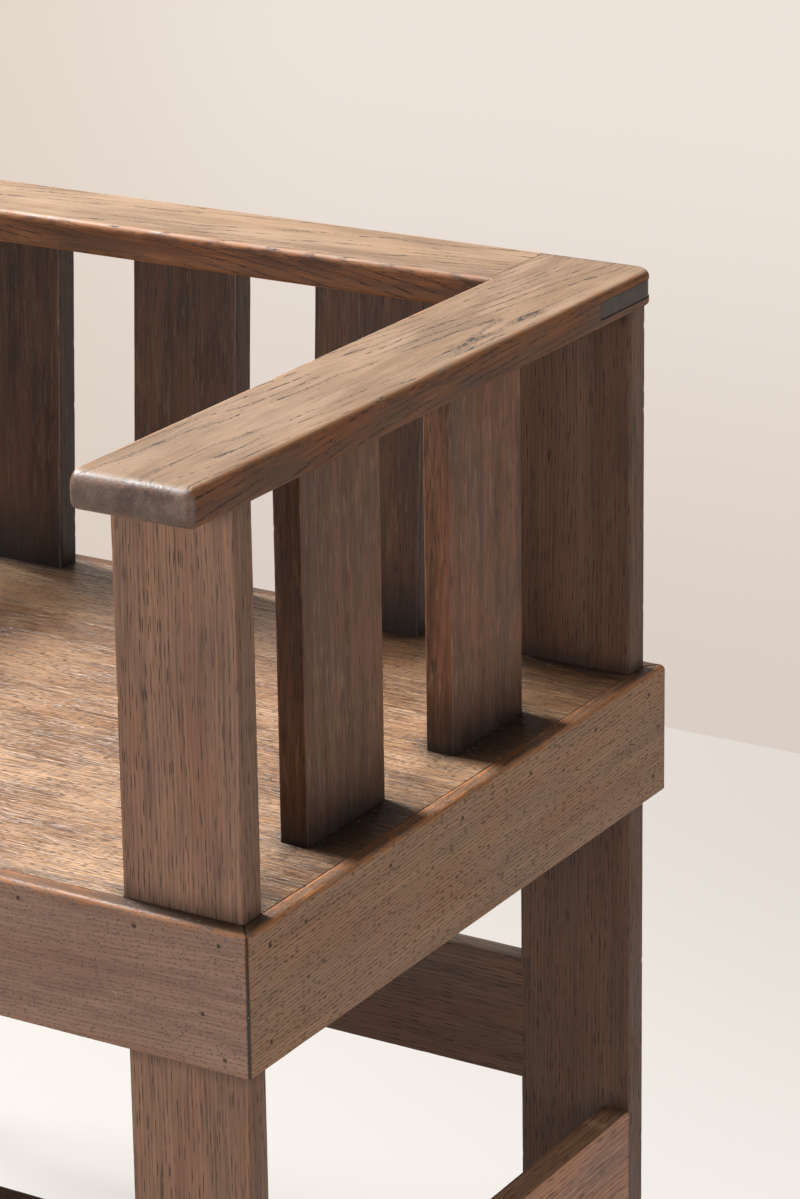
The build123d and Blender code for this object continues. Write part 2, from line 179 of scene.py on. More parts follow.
def straightBoard(
    low, high, grain, radii, chamfers=(0, 0), openEnds=(False, False), mitre=None, seed=0, tone=1
):
    # a board between two corners, its section the same all along
    # mitre: (axis, outward sign, run at the low end, run at the high end)
    # an end that isn't open stands against another board and isn't worn, so its arris counts as far away
    low, high = np.array(low), np.array(high)
    centre, half = (low + high) / 2, (high - low) / 2
    axisA, axisB = (grain + 1) % 3, (grain + 2) % 3
    if not isinstance(radii, dict):
        radii = {(a, b): radii for a in (-1, 1) for b in (-1, 1)}
    loop, normals = sectionLoop(half[axisA], half[axisB], radii)
    start, stop = -half[grain], half[grain]
    if mitre:
        axis, outward, runLow, runHigh = mitre
        inward = (half[axis] - outward * loop[:, 0 if axis == axisA else 1]) / (2 * half[axis])
        start, stop = start + runLow * inward, stop - runHigh * inward
    rings = []
    for share in np.linspace(0, 1, max(2, round(2 * half[grain] / boardMake["step"])) + 1):
        place = np.zeros((len(loop), 3))
        place[:, axisA], place[:, axisB] = loop[:, 0], loop[:, 1]
        place[:, grain] = start + (stop - start) * share
        rings.append(place)
    for end, chamfer in ((0, chamfers[0]), (-1, chamfers[1])):
        if chamfer:
            inner = rings[end].copy()
            inner[:, axisA] -= chamfer * normals[:, 0]
            inner[:, axisB] -= chamfer * normals[:, 1]
            rings[end][:, grain] += chamfer if end == 0 else -chamfer
            rings = [inner] + rings if end == 0 else rings + [inner]
    verts = np.concatenate(rings)
    order = boardOrder(grain, 2 * half)
    point, reach = verts[:, order] / mm, half[order] / mm
    extra = [0 if free else boardMake["jointedEnd"] for free in openEnds]
    reach[0] += sum(extra) / 2
    point[:, 0] += (extra[0] - extra[1]) / 2
    return {
        "verts": verts + centre, "faces": loopFaces(len(rings), len(loop)),
        "boardPoint": point, "boardHalf": reach, "boardSeed": seed, "boardTone": tone, "boardWear": 1.0,
    }


def edgePoint(place, out, top, under, corner=(0, 0), cornerRadius=1.0, wear=1):
    # one point of a plate's plan outline: its place, the way out, its top and under radii (one, or x and y)
    # and at a corner the corner's signs and plan radius
    pair = lambda value: tuple(value) if isinstance(value, tuple) else (value, value)
    return (*place, *out, *pair(top), *pair(under), *corner, cornerRadius, wear)


def mirrored(points):
    # the same outline with x the other way, still anticlockwise
    signs = np.ones(12)
    signs[[0, 2, 8]] = -1
    return [tuple(np.array(point) * signs) for point in reversed(points)]


def outlinePlate(outline, low, high, grain, centre, half, holds, slot=None, seed=0, tone=1.0):
    # a flat plate between two heights from its plan outline, a list of edgePoint
    # slot: (z low, z high, y): between those heights the plate ends at y, open to the rear
    outline = np.array(outline, float)
    plan, out, topRadii, underRadii, corner = (outline[:, k:k + 2] for k in (0, 2, 4, 6, 8))
    cornerRadius, wearShare = outline[:, 10:11], outline[:, 11]
    topRadius, underRadius = topRadii.max(axis=1), underRadii.max(axis=1)
    steps = boardMake["arcSteps"]
    rings = []

    def ring(inset, z, cut=False):
        # past a corner's own radius its points move in together, so that no ring folds over itself
        inset = np.broadcast_to(inset, plan.shape)
        within = np.minimum(inset, cornerRadius)
        place = np.zeros((len(plan), 3))
        place[:, 0:2] = plan - out * within - corner * (inset - within)
        place[:, 2] = z
        if cut:
            place[:, 1] = np.minimum(place[:, 1], slot[2])
        rings.append(place)

    for hold in reversed(holds):
        ring(underRadii + hold, low)
    for k in range(steps + 1):
        angle = math.pi / 2 * k / steps
        ring(underRadii * (1 - math.sin(angle)), low + underRadius * (1 - math.cos(angle)))
    if slot:
        slotFloor = np.maximum(slot[0], low + underRadius)
        slotCeiling = np.minimum(slot[1], high - topRadius)
        for z, cut in ((slotFloor, False), (slotFloor, True), (slotCeiling, True), (slotCeiling, False)):
            ring(0, z, cut)
    for k in range(steps + 1):
        angle = math.pi / 2 * k / steps
        ring(topRadii * (1 - math.cos(angle)), high - topRadius * (1 - math.sin(angle)))
    for hold in holds:
        ring(topRadii + hold, high)
    verts = np.concatenate(rings)
    order = boardOrder(grain, 2 * np.array(half))
    return {
        "verts": verts, "faces": loopFaces(len(rings), len(plan)),
        "boardPoint": (verts - np.array(centre))[:, order] / mm, "boardHalf": np.array(half)[order] / mm,
        "boardSeed": seed, "boardTone": tone, "boardWear": np.tile(wearShare, len(rings)),
    }


def makePiece(name, boards):
    # one mesh object from several boards, with their measures as attributes
    faces, start = [], 0
    for board in boards:
        faces += [tuple(v + start for v in face) for face in board["faces"]]
        start += len(board["verts"])
    mesh = bpy.data.meshes.new(name)
    mesh.from_pydata(np.concatenate([board["verts"] for board in boards]).tolist(), [], faces)
    widths = {"boardPoint": 3, "boardHalf": 3, "boardSeed": 1, "boardTone": 1, "boardWear": 1}
    for label, width in widths.items():
        rows = [np.broadcast_to(np.reshape(b[label], (-1, width)), (len(b["verts"]), width)) for b in boards]
        kind, field = ("FLOAT_VECTOR", "vector") if width == 3 else ("FLOAT", "value")
        data = np.concatenate(rows).astype(np.float32).ravel()
        mesh.attributes.new(label, kind, "POINT").data.foreach_set(field, data)
    work = bmesh.new()
    work.from_mesh(mesh)
    bmesh.ops.remove_doubles(work, verts=work.verts, dist=boardMake["merge"])
    bmesh.ops.dissolve_degenerate(work, edges=work.edges, dist=boardMake["merge"])
    bmesh.ops.recalc_face_normals(work, faces=work.faces)
    work.to_mesh(mesh)
    work.free()
    return newObject(name, mesh)


def smoothSides(piece):
    # rounded arrises read as round, square ends stay crisp
    piece.data.polygons.foreach_set("use_smooth", [True] * len(piece.data.polygons))
    piece.data.set_sharp_from_angle(angle=math.radians(boardMake["sharpAngle"]))


def settle(piece, slot, material, *nodes):
    # the piece joins the chair in place of its CAD nodes
    smoothSides(piece)
    piece.data.materials.clear()
    piece.data.materials.append(material)
    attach(piece, "root")
    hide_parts(*nodes)
    print("made", piece.name, len(piece.data.polygons), "faces")


# Worn arrises: a Geometry Nodes tree presses the edges in, unevenly, with a few nicks
wear = {
    "reach": 2.2,  # mm from the arris that the pressing reaches
    "roll": 0.30 * mm,  # slow waves along the arris
    "nick": 0.55 * mm,  # short dents
    "rollLength": 26.0,  # mm
    "nickLength": 5.0,  # mm
    "nickFrom": (0.60, 0.82),  # how strong the noise must be for a nick to start, and for a full one
    "armAmount": 1.2,  # arms and rail are worn this much more
}


def arrisDistance(add, point, half):
    # millimetres to the nearest arris: the middle one of a place's distances to the sides
    first, second, third = add("split", add("vector minus", half, add("vector size", point)))
    capped = add("lower", add("higher", first, second), third)
    return add("higher", add("lower", first, second), capped)


def geometryTree(name, inputs):
    # an empty tree with named inputs, the function that adds its nodes, and what it is given
    tree = bpy.data.node_groups.new(name, "GeometryNodeTree")
    tree.interface.new_socket("Geometry", in_out="OUTPUT", socket_type="NodeSocketGeometry")
    for label, (kind, value) in {"Geometry": ("Geometry", None), **inputs}.items():
        socket = tree.interface.new_socket(label, in_out="INPUT", socket_type="NodeSocket" + kind)
        if value is not None:
            socket.default_value = value
    add = adderFor(tree)
    return tree, add, add("NodeGroupInput")


def buildWearTree():
    sizes = {label: ("Float", wear[label.lower()]) for label in ("Reach", "Roll", "Nick")}
    tree, add, given = geometryTree("wornArrises", sizes)
    point, half = add("vectorNamed", "boardPoint"), add("vectorNamed", "boardHalf")
    noise = {"Vector": point, "W": add("numberNamed", "boardSeed"), "Detail": 1.0}
    roll, nick = (
        add("ShaderNodeTexNoise", {**noise, "Scale": 1 / wear[length]}, noise_dimensions="4D")[0]
        for length in ("rollLength", "nickLength")
    )
    nick = add("smooth", nick, *wear["nickFrom"])
    depth = add("timesPlus", nick, given["Nick"], add("times", roll, given["Roll"]))
    near = add("smooth", arrisDistance(add, point, half), given["Reach"], 0.0)
    pressed = add("times", depth, add("times", near, add("numberNamed", "boardWear")))
    inward = add("scale", add("GeometryNodeInputNormal")[0], add("times", pressed, -1.0))
    moved = add("GeometryNodeSetPosition", {"Geometry": given["Geometry"], "Offset": inward})
    add("NodeGroupOutput", moved[0])
    return tree


wearTree = buildWearTree()


def runTree(piece, tree, values):
    # run a tree on a piece and keep the result as a plain mesh
    modifier = piece.modifiers.new(tree.name, "NODES")
    modifier.node_group = tree
    sockets = {s.name: s.identifier for s in tree.interface.items_tree if s.in_out == "INPUT"}
    for label, value in values.items():
        modifier[sockets[label]] = value
    graph = bpy.context.evaluated_depsgraph_get()
    made = piece.evaluated_get(graph)
    plain = bpy.data.meshes.new_from_object(made, preserve_all_data_layers=True, depsgraph=graph)
    piece.modifiers.clear()
    piece.data = plain
    plain.name = piece.name


def wornPiece(name, boards, amount=1.0):
    piece = makePiece(name, boards)
    runTree(piece, wearTree, {"Roll": amount * wear["roll"], "Nick": amount * wear["nick"]})
    return piece


def ownOf(make, name):
    # what sets one board apart from the others of its kind
    return {"seed": make["seeds"][name], "tone": make["tones"][name]}


# Oak: open-pored, fumed dark and waxed. The eye reads rows of dark pore dashes, soft growth bands,
# and a paler, redder line where hands have rubbed an arris down to the wood
grain = {
    # millimetres along, across and through a board
    "warpLengths": (240, 34, 34),  # slow bends of the growth bands
    "waveLengths": (70, 16, 16),  # small waves
    "fibreLengths": (42, 1.0, 1.0),  # drawn coarser than real fibres so that they show
    "lineLengths": (70, 1.7, 1.7),
    "fleckLengths": (20, 2.6, 2.6),  # ray flecks
    "raggedLengths": (12, 4, 4),  # the worn bands' torn border
    "redLengths": (130, 22, 22),  # redder stretches
    "tornLengths": (34, 5, 5),  # stretches where cracks open
    "brokenLengths": (7, 2.5, 2.5),  # what breaks the cracks up
    "clearLengths": (80, 34, 34),  # stretches where the dark rows fade
    "scratchLengths": (26, 2.4, 2.4),
    "scratchBends": (60, 60, 60),
    "dustLengths": (3, 2, 2),
    # where a noise starts to show as a mark, and where it shows in full
    "lineFrom": (0.52, 0.70),
    "fleckFrom": (0.56, 0.70),
    "redFrom": (0.42, 0.62),
    "brokenFrom": (0.44, 0.52),
    "clearFrom": (0.54, 0.44),
    "topFrom": (0.45, 0.93),  # how far a face looks up
    "earlyFrom": 0.06,  # share of a ring
    "raggedFrom": (0.32, 0.68),
    "upperFrom": (-0.1, 0.5),  # shares of half a board's height
    "patchFrom": (0.35, 0.65),
    "cornerFrom": (0.99, 0.8),  # how open a spot is where dust starts to gather, and where it is thickest
    # shares of a cell
    "poreSize": (0.50, 0.28),
    "scratchSize": (0.17, 0.06),
    "dustSize": (0.26, 0.14),
    "shifts": (431.0, 17.0, 7.0),  # mm from one seed's wood to the next
    "ownHeart": (7.3, 3.1),  # how a seed sets the heart's place and lean
    "crackRing": (0.13, 0.04),  # how near a ring's border cracks keep
    "crackSoft": 0.06,
    "raggedReach": (0.15, 1.7),  # narrowest and widest shares of a worn band's width
    "scratchShare": 0.05,  # of its cells that hold a scratch
    "scratchTurn": 0.9,  # radians to the grain
    "scratchSway": (30, 30, 30),  # mm
    "dustShares": (0.012, 0.30),  # in the open, and what a corner adds
    "underFrom": (1.3, 0.5),  # where an arm's sides start to turn grey, and where they are greyest
    "underRagged": 2.0,
    "endRagged": 1.5,  # mm
    "endSoft": 1.0,  # mm
    "calmLevel": 0.6,
    "footRagged": 30.0,  # mm up and down of a dark foot's border
    "rowsLeft": 0.55,  # how dark rows stay on a worn arris
    "rowsLost": 0.8,  # and how much of them end grain hides
    "roughSpread": (-0.06, 0.08),
    "roughness": (0.25, 0.10, 0.12, -0.12),  # what rows, worn arrises, fibres and end grain add
    "relief": (0.55, -1.0, 1.6),  # how high fibres, rows and streaks stand
}
# painted shadow on the seat beside the side slats' feet, with wax that dulls the shine there
shadeAndWax = {
    "reach": 60 * mm,
    "opennessFrom": (0.98, 0.76),
    "sideFrom": (0.280, 0.296),  # metres from the chair's middle plane
    "rear": 0.165,  # metres, where the wax ends behind the side slats
    "dullness": 0.32,  # what the wax takes off the shine
}


def mottled(add, vector, lengths, detail=2.0, roughness=0.5):
    # noise in patches of so many millimetres
    return add("noise", add("vector over", vector, lengths), 1.0, detail, roughness)


def oakFinish(name, look):
    material = bpy.data.materials.new(name)
    add = emptyNodes(material)

    def laid(under, share, amount, hexColour):
        # a colour laid over what is there
        return add("mixColour", add("times", share, amount), under, linear(hexColour))

    def between(share, dark, light):
        # from one of the look's colours to another
        return add("mixColour", share, linear(look[dark]), linear(look[light]))

    def marks(vector, lengths, channel, share, size):
        # small marks in cells of so many millimetres, of which this share has one
        cells = add("cells", add("vector over", vector, lengths), 1.0)
        few = add("below", add("splitColour", cells["Color"])[channel], share)
        return add("times", add("smooth", cells["Distance"], *size), few)

    def spots(vector, what):
        # stretches that a noise of the grain's picks out
        return add("smooth", mottled(add, vector, grain[what + "Lengths"])[0], *grain[what + "From"])

    measures = ("boardPoint", "boardHalf", "boardSeed", "boardTone", "boardWear")
    point, half, seed, tone, edgeShare = (
        add("ShaderNodeAttribute", attribute_name=label)["Vector" if label in measures[:2] else "Fac"]
        for label in measures
    )
    shift = add("join", *(add("times", seed, step) for step in grain["shifts"]))
    placed = add("vector plus", point, shift)
    bent = placed
    for lengths, bend in ((grain["warpLengths"], look["warp"]), (grain["waveLengths"], look["wave"])):
        turn = add("vector minus", mottled(add, placed, lengths)["Color"], (0.5, 0.5, 0.5))
        bent = add("vector timesPlus", turn, (0, bend, bend), bent)
    # growth rings round a heart that lies beside the board and runs a little askew, its own way in each plank
    own = add("vector minus", bent, shift)
    along, wide, thin = add("split", own)
    heartTurn, leanTurn = grain["ownHeart"]
    sway = add("sine", add("times", seed, heartTurn))
    lean = add("sine", add("timesPlus", seed, leanTurn, 1.0))
    heart = add("timesPlus", sway, look["heartSway"], look["heart"][0])
    tilt = add("times", along, add("timesPlus", lean, look["lean"], look["leanBase"]))
    across = add("minus", add("minus", wide, heart), tilt)
    through = add("minus", thin, look["heart"][1])
    squares = add("timesPlus", across, across, add("times", through, through))
    ring = add("pingPong", add("fraction", add("over", add("root", squares), look["ring"])), 0.5)
    early = add("smooth", ring, grain["earlyFrom"], look["early"], 1.0, 0.0)
    # pores: long cells, most of them in the early wood
    poreShare = add("timesPlus", early, look["poreEarly"], look["poreLate"])
    pore = marks(bent, look["poreLengths"], 0, poreShare, grain["poreSize"])
    fibre = mottled(add, bent, grain["fibreLengths"], 2.0, 0.6)[0]
    lines = spots(bent, "line")
    streak = mottled(add, bent, look["streakLengths"], 3.0)[0]
    patch = mottled(add, placed, look["patchLengths"], 4.0, 0.6)[0]
    fleck = spots(own, "fleck")
    # open cracks that follow the rings in places
    torn = mottled(add, placed, grain["tornLengths"])[0]
    torn = add("smooth", torn, look["crackShare"], look["crackShare"] + grain["crackSoft"])
    crack = add("times", add("smooth", ring, *grain["crackRing"]), torn)
    crack = add("times", crack, spots(placed, "broken"))
    # colour from dark to light
    level = add("timesPlus", fibre, look["fibre"], add("times", streak, look["streak"]))
    level = add("timesPlus", patch, look["patch"], level)
    middle = (look["fibre"] + look["streak"] + look["patch"]) / 2
    level = add("smooth", level, middle - look["contrast"], middle + look["contrast"])
    red = add("smooth", mottled(add, placed, grain["redLengths"])[1], *grain["redFrom"])
    # faces that look up take colours of their own: the rubbed finish on the arms and seat, and painted shade
    # on the aprons' tops
    top = add("smooth", add("split", add("ShaderNodeNewGeometry")["Normal"])[2], *grain["topFrom"])
    calm = add("timesPlus", level, 1 - look["topCalm"], grain["calmLevel"] * look["topCalm"])
    side = laid(between(level, "dark", "light"), red, look["tintShare"], look["tint"])
    upper = laid(between(calm, "topDark", "topLight"), red, look["tintShare"], look["topTint"])
    colour = add("mixColour", top, side, upper)
    colour = laid(colour, fleck, look["fleck"], look["fleckColour"])
    ending = 0.0
    if look["endReach"]:
        # end grain, dark with old polish
        fromEnd = add("split", add("vector minus", half, add("vector size", point)))[0]
        fromEnd = add("timesPlus", fibre, grain["endRagged"], fromEnd)
        ending = add("smooth", fromEnd, look["endReach"] + grain["endSoft"], look["endReach"])
        colour = add("mixColour", ending, colour, between(level, "endDark", "endLight"))
    # arrises rubbed down to the wood
    ragged = mottled(add, placed, grain["raggedLengths"], 4.0, 0.65)[0]
    ragged = add("smooth", ragged, *grain["raggedFrom"], *grain["raggedReach"])
    reach = add("times", ragged, look["wearWidth"])
    worn = add("smooth", arrisDistance(add, point, half), reach, 0.0)
    worn = add("times", add("times", worn, edgeShare), look["wear"])
    worn = add("times", worn, add("timesPlus", ending, look["endWear"] - 1, 1.0))
    if look["upper"]:
        # upper arrises get the hands, lower ones only a little
        height = add("split", add("vector over", point, half))[look["upper"]]
        worn = add("times", worn, add("smooth", height, *grain["upperFrom"], look["wearUnder"], 1.0))
    if look["underGrey"]:
        under = add("smooth", add("timesPlus", streak, grain["underRagged"], height), *grain["underFrom"])
        under = add("times", under, add("minus", 1.0, top))
        colour = laid(colour, under, look["underGrey"], look["underColour"])
    colour = add("mixColour", worn, colour, between(fibre, "wearDark", "wearColour"))
    # dark growth bands, lines, pores and cracks
    rows = add("times", early, look["band"])
    rows = add("higher", rows, add("times", lines, look["line"]))
    rows = add("higher", rows, add("times", pore, look["pore"]))
    rows = add("times", rows, add("timesPlus", top, -look["topCalm"], 1.0))
    if look["clearing"]:
        rows = add("times", rows, add("timesPlus", spots(placed, "clear"), -look["clearing"], 1.0))
    rows = add("higher", rows, add("times", crack, look["crack"]))
    rows = add("times", rows, add("smooth", worn, 0.0, 1.0, 1.0, grain["rowsLeft"]))
    rows = add("times", rows, add("timesPlus", ending, -grain["rowsLost"], 1.0))
    colour = add("mixColour", rows, colour, linear(look["poreColour"]))
    # painted shade and grime darken where boards meet
    openness = add("openness", look["grimeAndShadeReach"] * mm)
    grimeAndShade = add("smooth", openness, *look["grimeAndShadeFrom"])
    colour = laid(colour, grimeAndShade, look["grimeAndShade"], look["grimeAndShadeColour"])
    finished = {}
    if look["slatShadeAndWax"]:
        # painted shadow at the side slats' feet, nearly black, and wax there that dulls the shine
        place = add("ShaderNodeTexCoord")["Object"]
        waxAndShade = add("smooth", add("openness", shadeAndWax["reach"]), *shadeAndWax["opennessFrom"])
        away = add("smooth", add("split", add("vector size", place))[0], *shadeAndWax["sideFrom"])
        before = add("below", add("split", place)[1], shadeAndWax["rear"])
        waxAndShade = add("times", add("times", waxAndShade, away), before)
        colour = laid(colour, waxAndShade, look["slatShadeAndWax"], look["grimeAndShadeColour"])
        finished["Specular IOR Level"] = add("timesPlus", waxAndShade, -shadeAndWax["dullness"], 0.5)
    if look["scratch"]:
        # short pale scratches across the grain, each its own way
        bends = mottled(add, placed, grain["scratchBends"], 1.0)["Color"]
        place = add("vector timesPlus", bends, grain["scratchSway"], placed)
        turn = {"Vector": place, "Axis": (0, 0, 1), "Angle": grain["scratchTurn"]}
        turned = add("ShaderNodeVectorRotate", turn)[0]
        scratch = marks(turned, grain["scratchLengths"], 1, grain["scratchShare"], grain["scratchSize"])
        colour = laid(colour, scratch, look["scratch"], look["scratchColour"])
    # painted shade darkens the board's lower end
    if look["foot"] < 1:
        # a jointed end counts as far away, and the patches make the border uneven
        fromFoot = add("split", add("vector plus", half, point))[0]
        fromFoot = add("plus", fromFoot, grain["footRagged"] / 2 - boardMake["jointedEnd"])
        fromFoot = add("timesPlus", patch, -grain["footRagged"], fromFoot)
        tone = add("times", tone, add("smooth", fromFoot, 0.0, look["footReach"], look["foot"], 1.0))
    if look["specks"]:
        inOpen, inCorner = grain["dustShares"]
        caught = add("timesPlus", add("smooth", openness, *grain["cornerFrom"]), inCorner, inOpen)
        speck = marks(placed, grain["dustLengths"], 2, caught, grain["dustSize"])
        colour = laid(colour, speck, look["specks"], look["speckColour"])
    limits = (look["rough"] + spread for spread in grain["roughSpread"])
    rough = add("smooth", patch, *grain["patchFrom"], *limits)
    for what, amount in zip((rows, worn, fibre, ending), grain["roughness"]):
        rough = add("timesPlus", what, amount, rough)
    fibreHigh, rowsHigh, streakHigh = grain["relief"]
    height = add("timesPlus", rows, rowsHigh, add("times", fibre, fibreHigh))
    height = add("timesPlus", streak, streakHigh, height)
    bump = add("bump", height, look["bump"], look["bumpDepth"] * mm)
    finished.update({"Base Color": add("scale", colour, tone), "Roughness": rough, "Normal": bump})
    shader = add("ShaderNodeBsdfPrincipled", {**finished, "IOR": look["ior"]})
    add("ShaderNodeOutputMaterial", shader[0])
    return material


oakBase = {
    "warp": 9.0, "wave": 2.0,  # mm
    "ring": 2.4,  # mm between growth rings
    "early": 0.2,  # share of a ring that is early wood
    "heart": (95, -60),  # mm from the board's middle to the heart of the tree, across and through
    "heartSway": 25,
    "lean": 0.03,  # how far the heart runs askew, which draws slanting rows and pointed arches
    "leanBase": 0.0,
    "poreLengths": (13, 0.9, 0.9),  # mm, drawn wider than the real 0.3 mm so that they show
    "poreEarly": 0.8, "poreLate": 0.14,
    "pore": 0.85, "line": 0.42, "band": 0.22,  # how dark each is
    "fibre": 0.7, "streak": 0.7, "patch": 0.5,  # how much each sways the tone
    "contrast": 0.34,
    "streakLengths": (190, 9, 9), "patchLengths": (75, 30, 30),  # mm
    "crack": 0.0, "crackShare": 0.6,
    "fleck": 0.0,
    "wear": 0.5,
    "wearWidth": 1.3,  # mm
    "upper": 0,  # the board's own axis that points up, if its upper arrises wear more: 1 wide, 2 thin
    "wearUnder": 0.35,
    "clearing": 0.0,  # how far the dark rows fade away in places
    "topCalm": 0.0,  # how much plainer the top faces are than the sides
    "slatShadeAndWax": 0.0,
    "foot": 1.0,  # how bright the board's lower end still is, where painted shade darkens it
    "footReach": 55,  # mm
    "underGrey": 0.0,  # how grey an arm's sides turn towards the bottom
    "grimeAndShade": 0.75,
    "grimeAndShadeReach": 14,  # mm
    "grimeAndShadeFrom": (0.94, 0.52),  # how open a spot is where the painted shade and grime start, and where they are thickest
    "endReach": 0.0,  # mm
    "endWear": 0.5,  # how much of the arris wear the end keeps
    "scratch": 0.0,
    "rough": 0.40,
    "ior": 1.38,  # old dry wax, duller than varnish
    "bump": 0.5,
    "bumpDepth": 0.25,  # mm
    "specks": 0.0,  # pale dust caught in the joints
    "dark": "#5a4233", "light": "#8a6650", "tint": "#7b533f", "tintShare": 0.45,
    "topDark": "#423024", "topLight": "#6d5644", "topTint": "#644430",
    "wearDark": "#5d3a26", "wearColour": "#96664a",
    "endDark": "#3b302b", "endLight": "#6d6058",
    "poreColour": "#2a1e19", "grimeAndShadeColour": "#1c1310", "fleckColour": "#9a7d68",
    "scratchColour": "#b08d72", "speckColour": "#a3988a", "underColour": "#4c3a2e",
}
postOak = oakFinish("fumedOakPosts", oakBase)
# the slats are darker and calmer than the legs, and nearly black at the foot with painted shade
slatOak = oakFinish("fumedOakSlats", {
    **oakBase,
    "dark": "#452e20", "light": "#714c37", "tint": "#6b422e", "tintShare": 0.3,
    "foot": 0.22, "footReach": 60,
    "fleck": 0.45, "fleckColour": "#8a6a50",
    "pore": 0.75, "line": 0.25,
    "contrast": 0.17,
    "ring": 1.7, "heart": (130, -40),
    "wear": 0.3, "wearWidth": 1.2,
    "rough": 0.36,
})
# hands have rubbed the arms' tops pale and their arrises red, and the wood has cracked
armOak = oakFinish("rubbedOakArms", {
    **oakBase,
    "topDark": "#6a523c", "topLight": "#8f755d", "topTint": "#866748",
    "dark": "#452714", "light": "#7c5030", "tint": "#844a26", "tintShare": 0.25,
    "wearDark": "#6c4124", "wearColour": "#ab6f3d",
    "wear": 0.8, "wearWidth": 5.0, "upper": 2, "wearUnder": 0.45,
    "underGrey": 0.4,
    "wave": 4.5,
    "heart": (14, -46), "heartSway": 12, "lean": 0.05, "leanBase": 0.10,
    "ring": 3.6, "early": 0.16,
    "poreLengths": (4.0, 0.7, 0.7), "poreEarly": 1.0, "poreLate": 0.03,
    "band": 0.34, "pore": 0.95, "line": 0.2,
    "streakLengths": (90, 9, 9), "contrast": 0.24, "patch": 0.9,
    "crack": 0.95, "crackShare": 0.50,
    "clearing": 0.85, "topCalm": 0.2,
    "endReach": 5.2, "endDark": "#463730", "endLight": "#6e5a50",
    "rough": 0.48, "bump": 0.6,
})
# the aprons show rows of short pores, an upper arris worn to the wood, scratches and dust
apronLook = {
    **oakBase,
    "dark": "#6b513e", "light": "#9c795d", "tint": "#855f47",
    # their tops are darker than their faces: painted shade
    "topDark": "#4d3423", "topLight": "#745740", "topTint": "#764a29",
    "wearDark": "#6a3c22", "wearColour": "#a9713f",
    # painted shade and grime, nearly black on the tops beside the legs
    "grimeAndShade": 0.95, "grimeAndShadeFrom": (0.97, 0.66), "grimeAndShadeReach": 30,
    "specks": 0.6, "scratch": 0.6,
    "endReach": 1.8, "endWear": 0.0, "endDark": "#1c120d", "endLight": "#3a2418",
    "wear": 0.9, "wearWidth": 4.2, "upper": 1, "wearUnder": 0.3,
    "ring": 2.2, "early": 0.25, "heart": (120, -60), "lean": 0.06,
    "poreLengths": (5.2, 0.95, 0.95), "poreEarly": 0.95, "poreLate": 0.24,
    "pore": 0.8, "line": 0.15, "band": 0.26,
    "contrast": 0.42, "rough": 0.42,
}
apronSideOak = oakFinish("fumedOakSideAprons", apronLook)
apronFrontOak = oakFinish("fumedOakFrontAprons", {
    **apronLook,
    "dark": "#65493b", "light": "#917361", "tint": "#7b5a4b",
    "poreLengths": (2.2, 0.85, 0.85), "poreLate": 0.16,
    "pore": 0.7, "band": 0.12, "line": 0.2,
})
# the seat is rubbed pale in fine streaks, shines more, and takes a nearly black painted shadow and wax beside
# the side slats
seatOak = oakFinish("rubbedOakSeat", {
    **oakBase,
    "topDark": "#5e3f28", "topLight": "#b28c68", "topTint": "#8b5f3b",
    "wearDark": "#2c1d15", "wearColour": "#4a3122", "wearWidth": 0.8, "wear": 0.8,
    "heart": (200, -60), "ring": 2.6,
    "poreLengths": (5, 0.7, 0.7), "poreLate": 0.28, "line": 0.5,
    "streakLengths": (18, 1.8, 1.8), "patchLengths": (90, 50, 50),
    "streak": 0.55, "patch": 0.85, "fibre": 0.9, "contrast": 0.22,
    "fleck": 0.3, "fleckColour": "#9a7d5f",
    "scratch": 0.7, "scratchColour": "#b29c82",
    "rough": 0.30, "ior": 1.46, "bump": 1.0, "bumpDepth": 0.4,
    "specks": 0.9, "slatShadeAndWax": 1.0,
    "grimeAndShade": 0.94, "grimeAndShadeReach": 20, "grimeAndShadeColour": "#0f0907",
})
# nobody touches the stretchers, so they are dark and plain
stretcherOak = oakFinish("fumedOakStretchers", {
    **oakBase,
    "dark": "#432d20", "light": "#775846",
    "topDark": "#563f2f", "topLight": "#7b604b", "topTint": "#664832",
})
print("finishes built")


# Legs
legMake = {
    "radius": 0.8 * mm,
    "footChamfer": 1.0 * mm,
    "inner": 1.2 * mm,  # the rear legs' inner edges, where the photo shows no gap to the slat in front
    "seeds": {"front_left": 1.3, "front_right": 2.7, "rear_left": 3.1, "rear_right": 4.6},
    # the rear legs' low tone is painted shade, cast by the front legs and slats
    "tones": {"front_left": 1.0, "front_right": 1.14, "rear_left": 0.62, "rear_right": 0.62},
}


def makeLeg(place):
    low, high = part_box(f"leg_{place}")
    high.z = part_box("arm_right")[0].z
    if "rear" in place:
        edge = low if "right" in place else high
        edge.x -= math.copysign(legMake["inner"], edge.x)
    ends = {"chamfers": (legMake["footChamfer"], 0), "openEnds": (True, False)}
    board = straightBoard(low, high, 2, legMake["radius"], **ends, **ownOf(legMake, place))
    piece = wornPiece(f"leg_board_{place}", [board])
    settle(piece, "oak_frame", postOak, f"leg_{place}")


for place in legMake["seeds"]:
    makeLeg(place)


# Slats: one blank for each kind, repeated along a row by Geometry Nodes
slatMake = {
    "radius": 0.9 * mm,
    "rake": 3.0,  # degrees, the back slats only
    "bury": 1.2 * mm,  # how far a raked slat's square ends go into the seat and rail
    "sideWide": 2.6 * mm,  # the photo shows the side slats this much fuller than the CAD boards
    "sideThick": 1.0 * mm,
    "backWide": 4.0 * mm,  # the back slats also show fuller, and a little to the right
    "backShift": 1.2 * mm,
    "seedStep": 3.7,
    "seeds": {"left": 11.0, "right": 20.0, "back": 41.0},
    # the first slat's tone, and the step to the next; the photo doesn't show the left side
    # the right slats' higher tones, rising towards the rear, are painted light, and the back slats' low tone,
    # rising along the row, is painted shade
    "tones": {"left": (1.0, 0.1), "right": (1.26, 0.2), "back": (0.40, 0.06)},
}


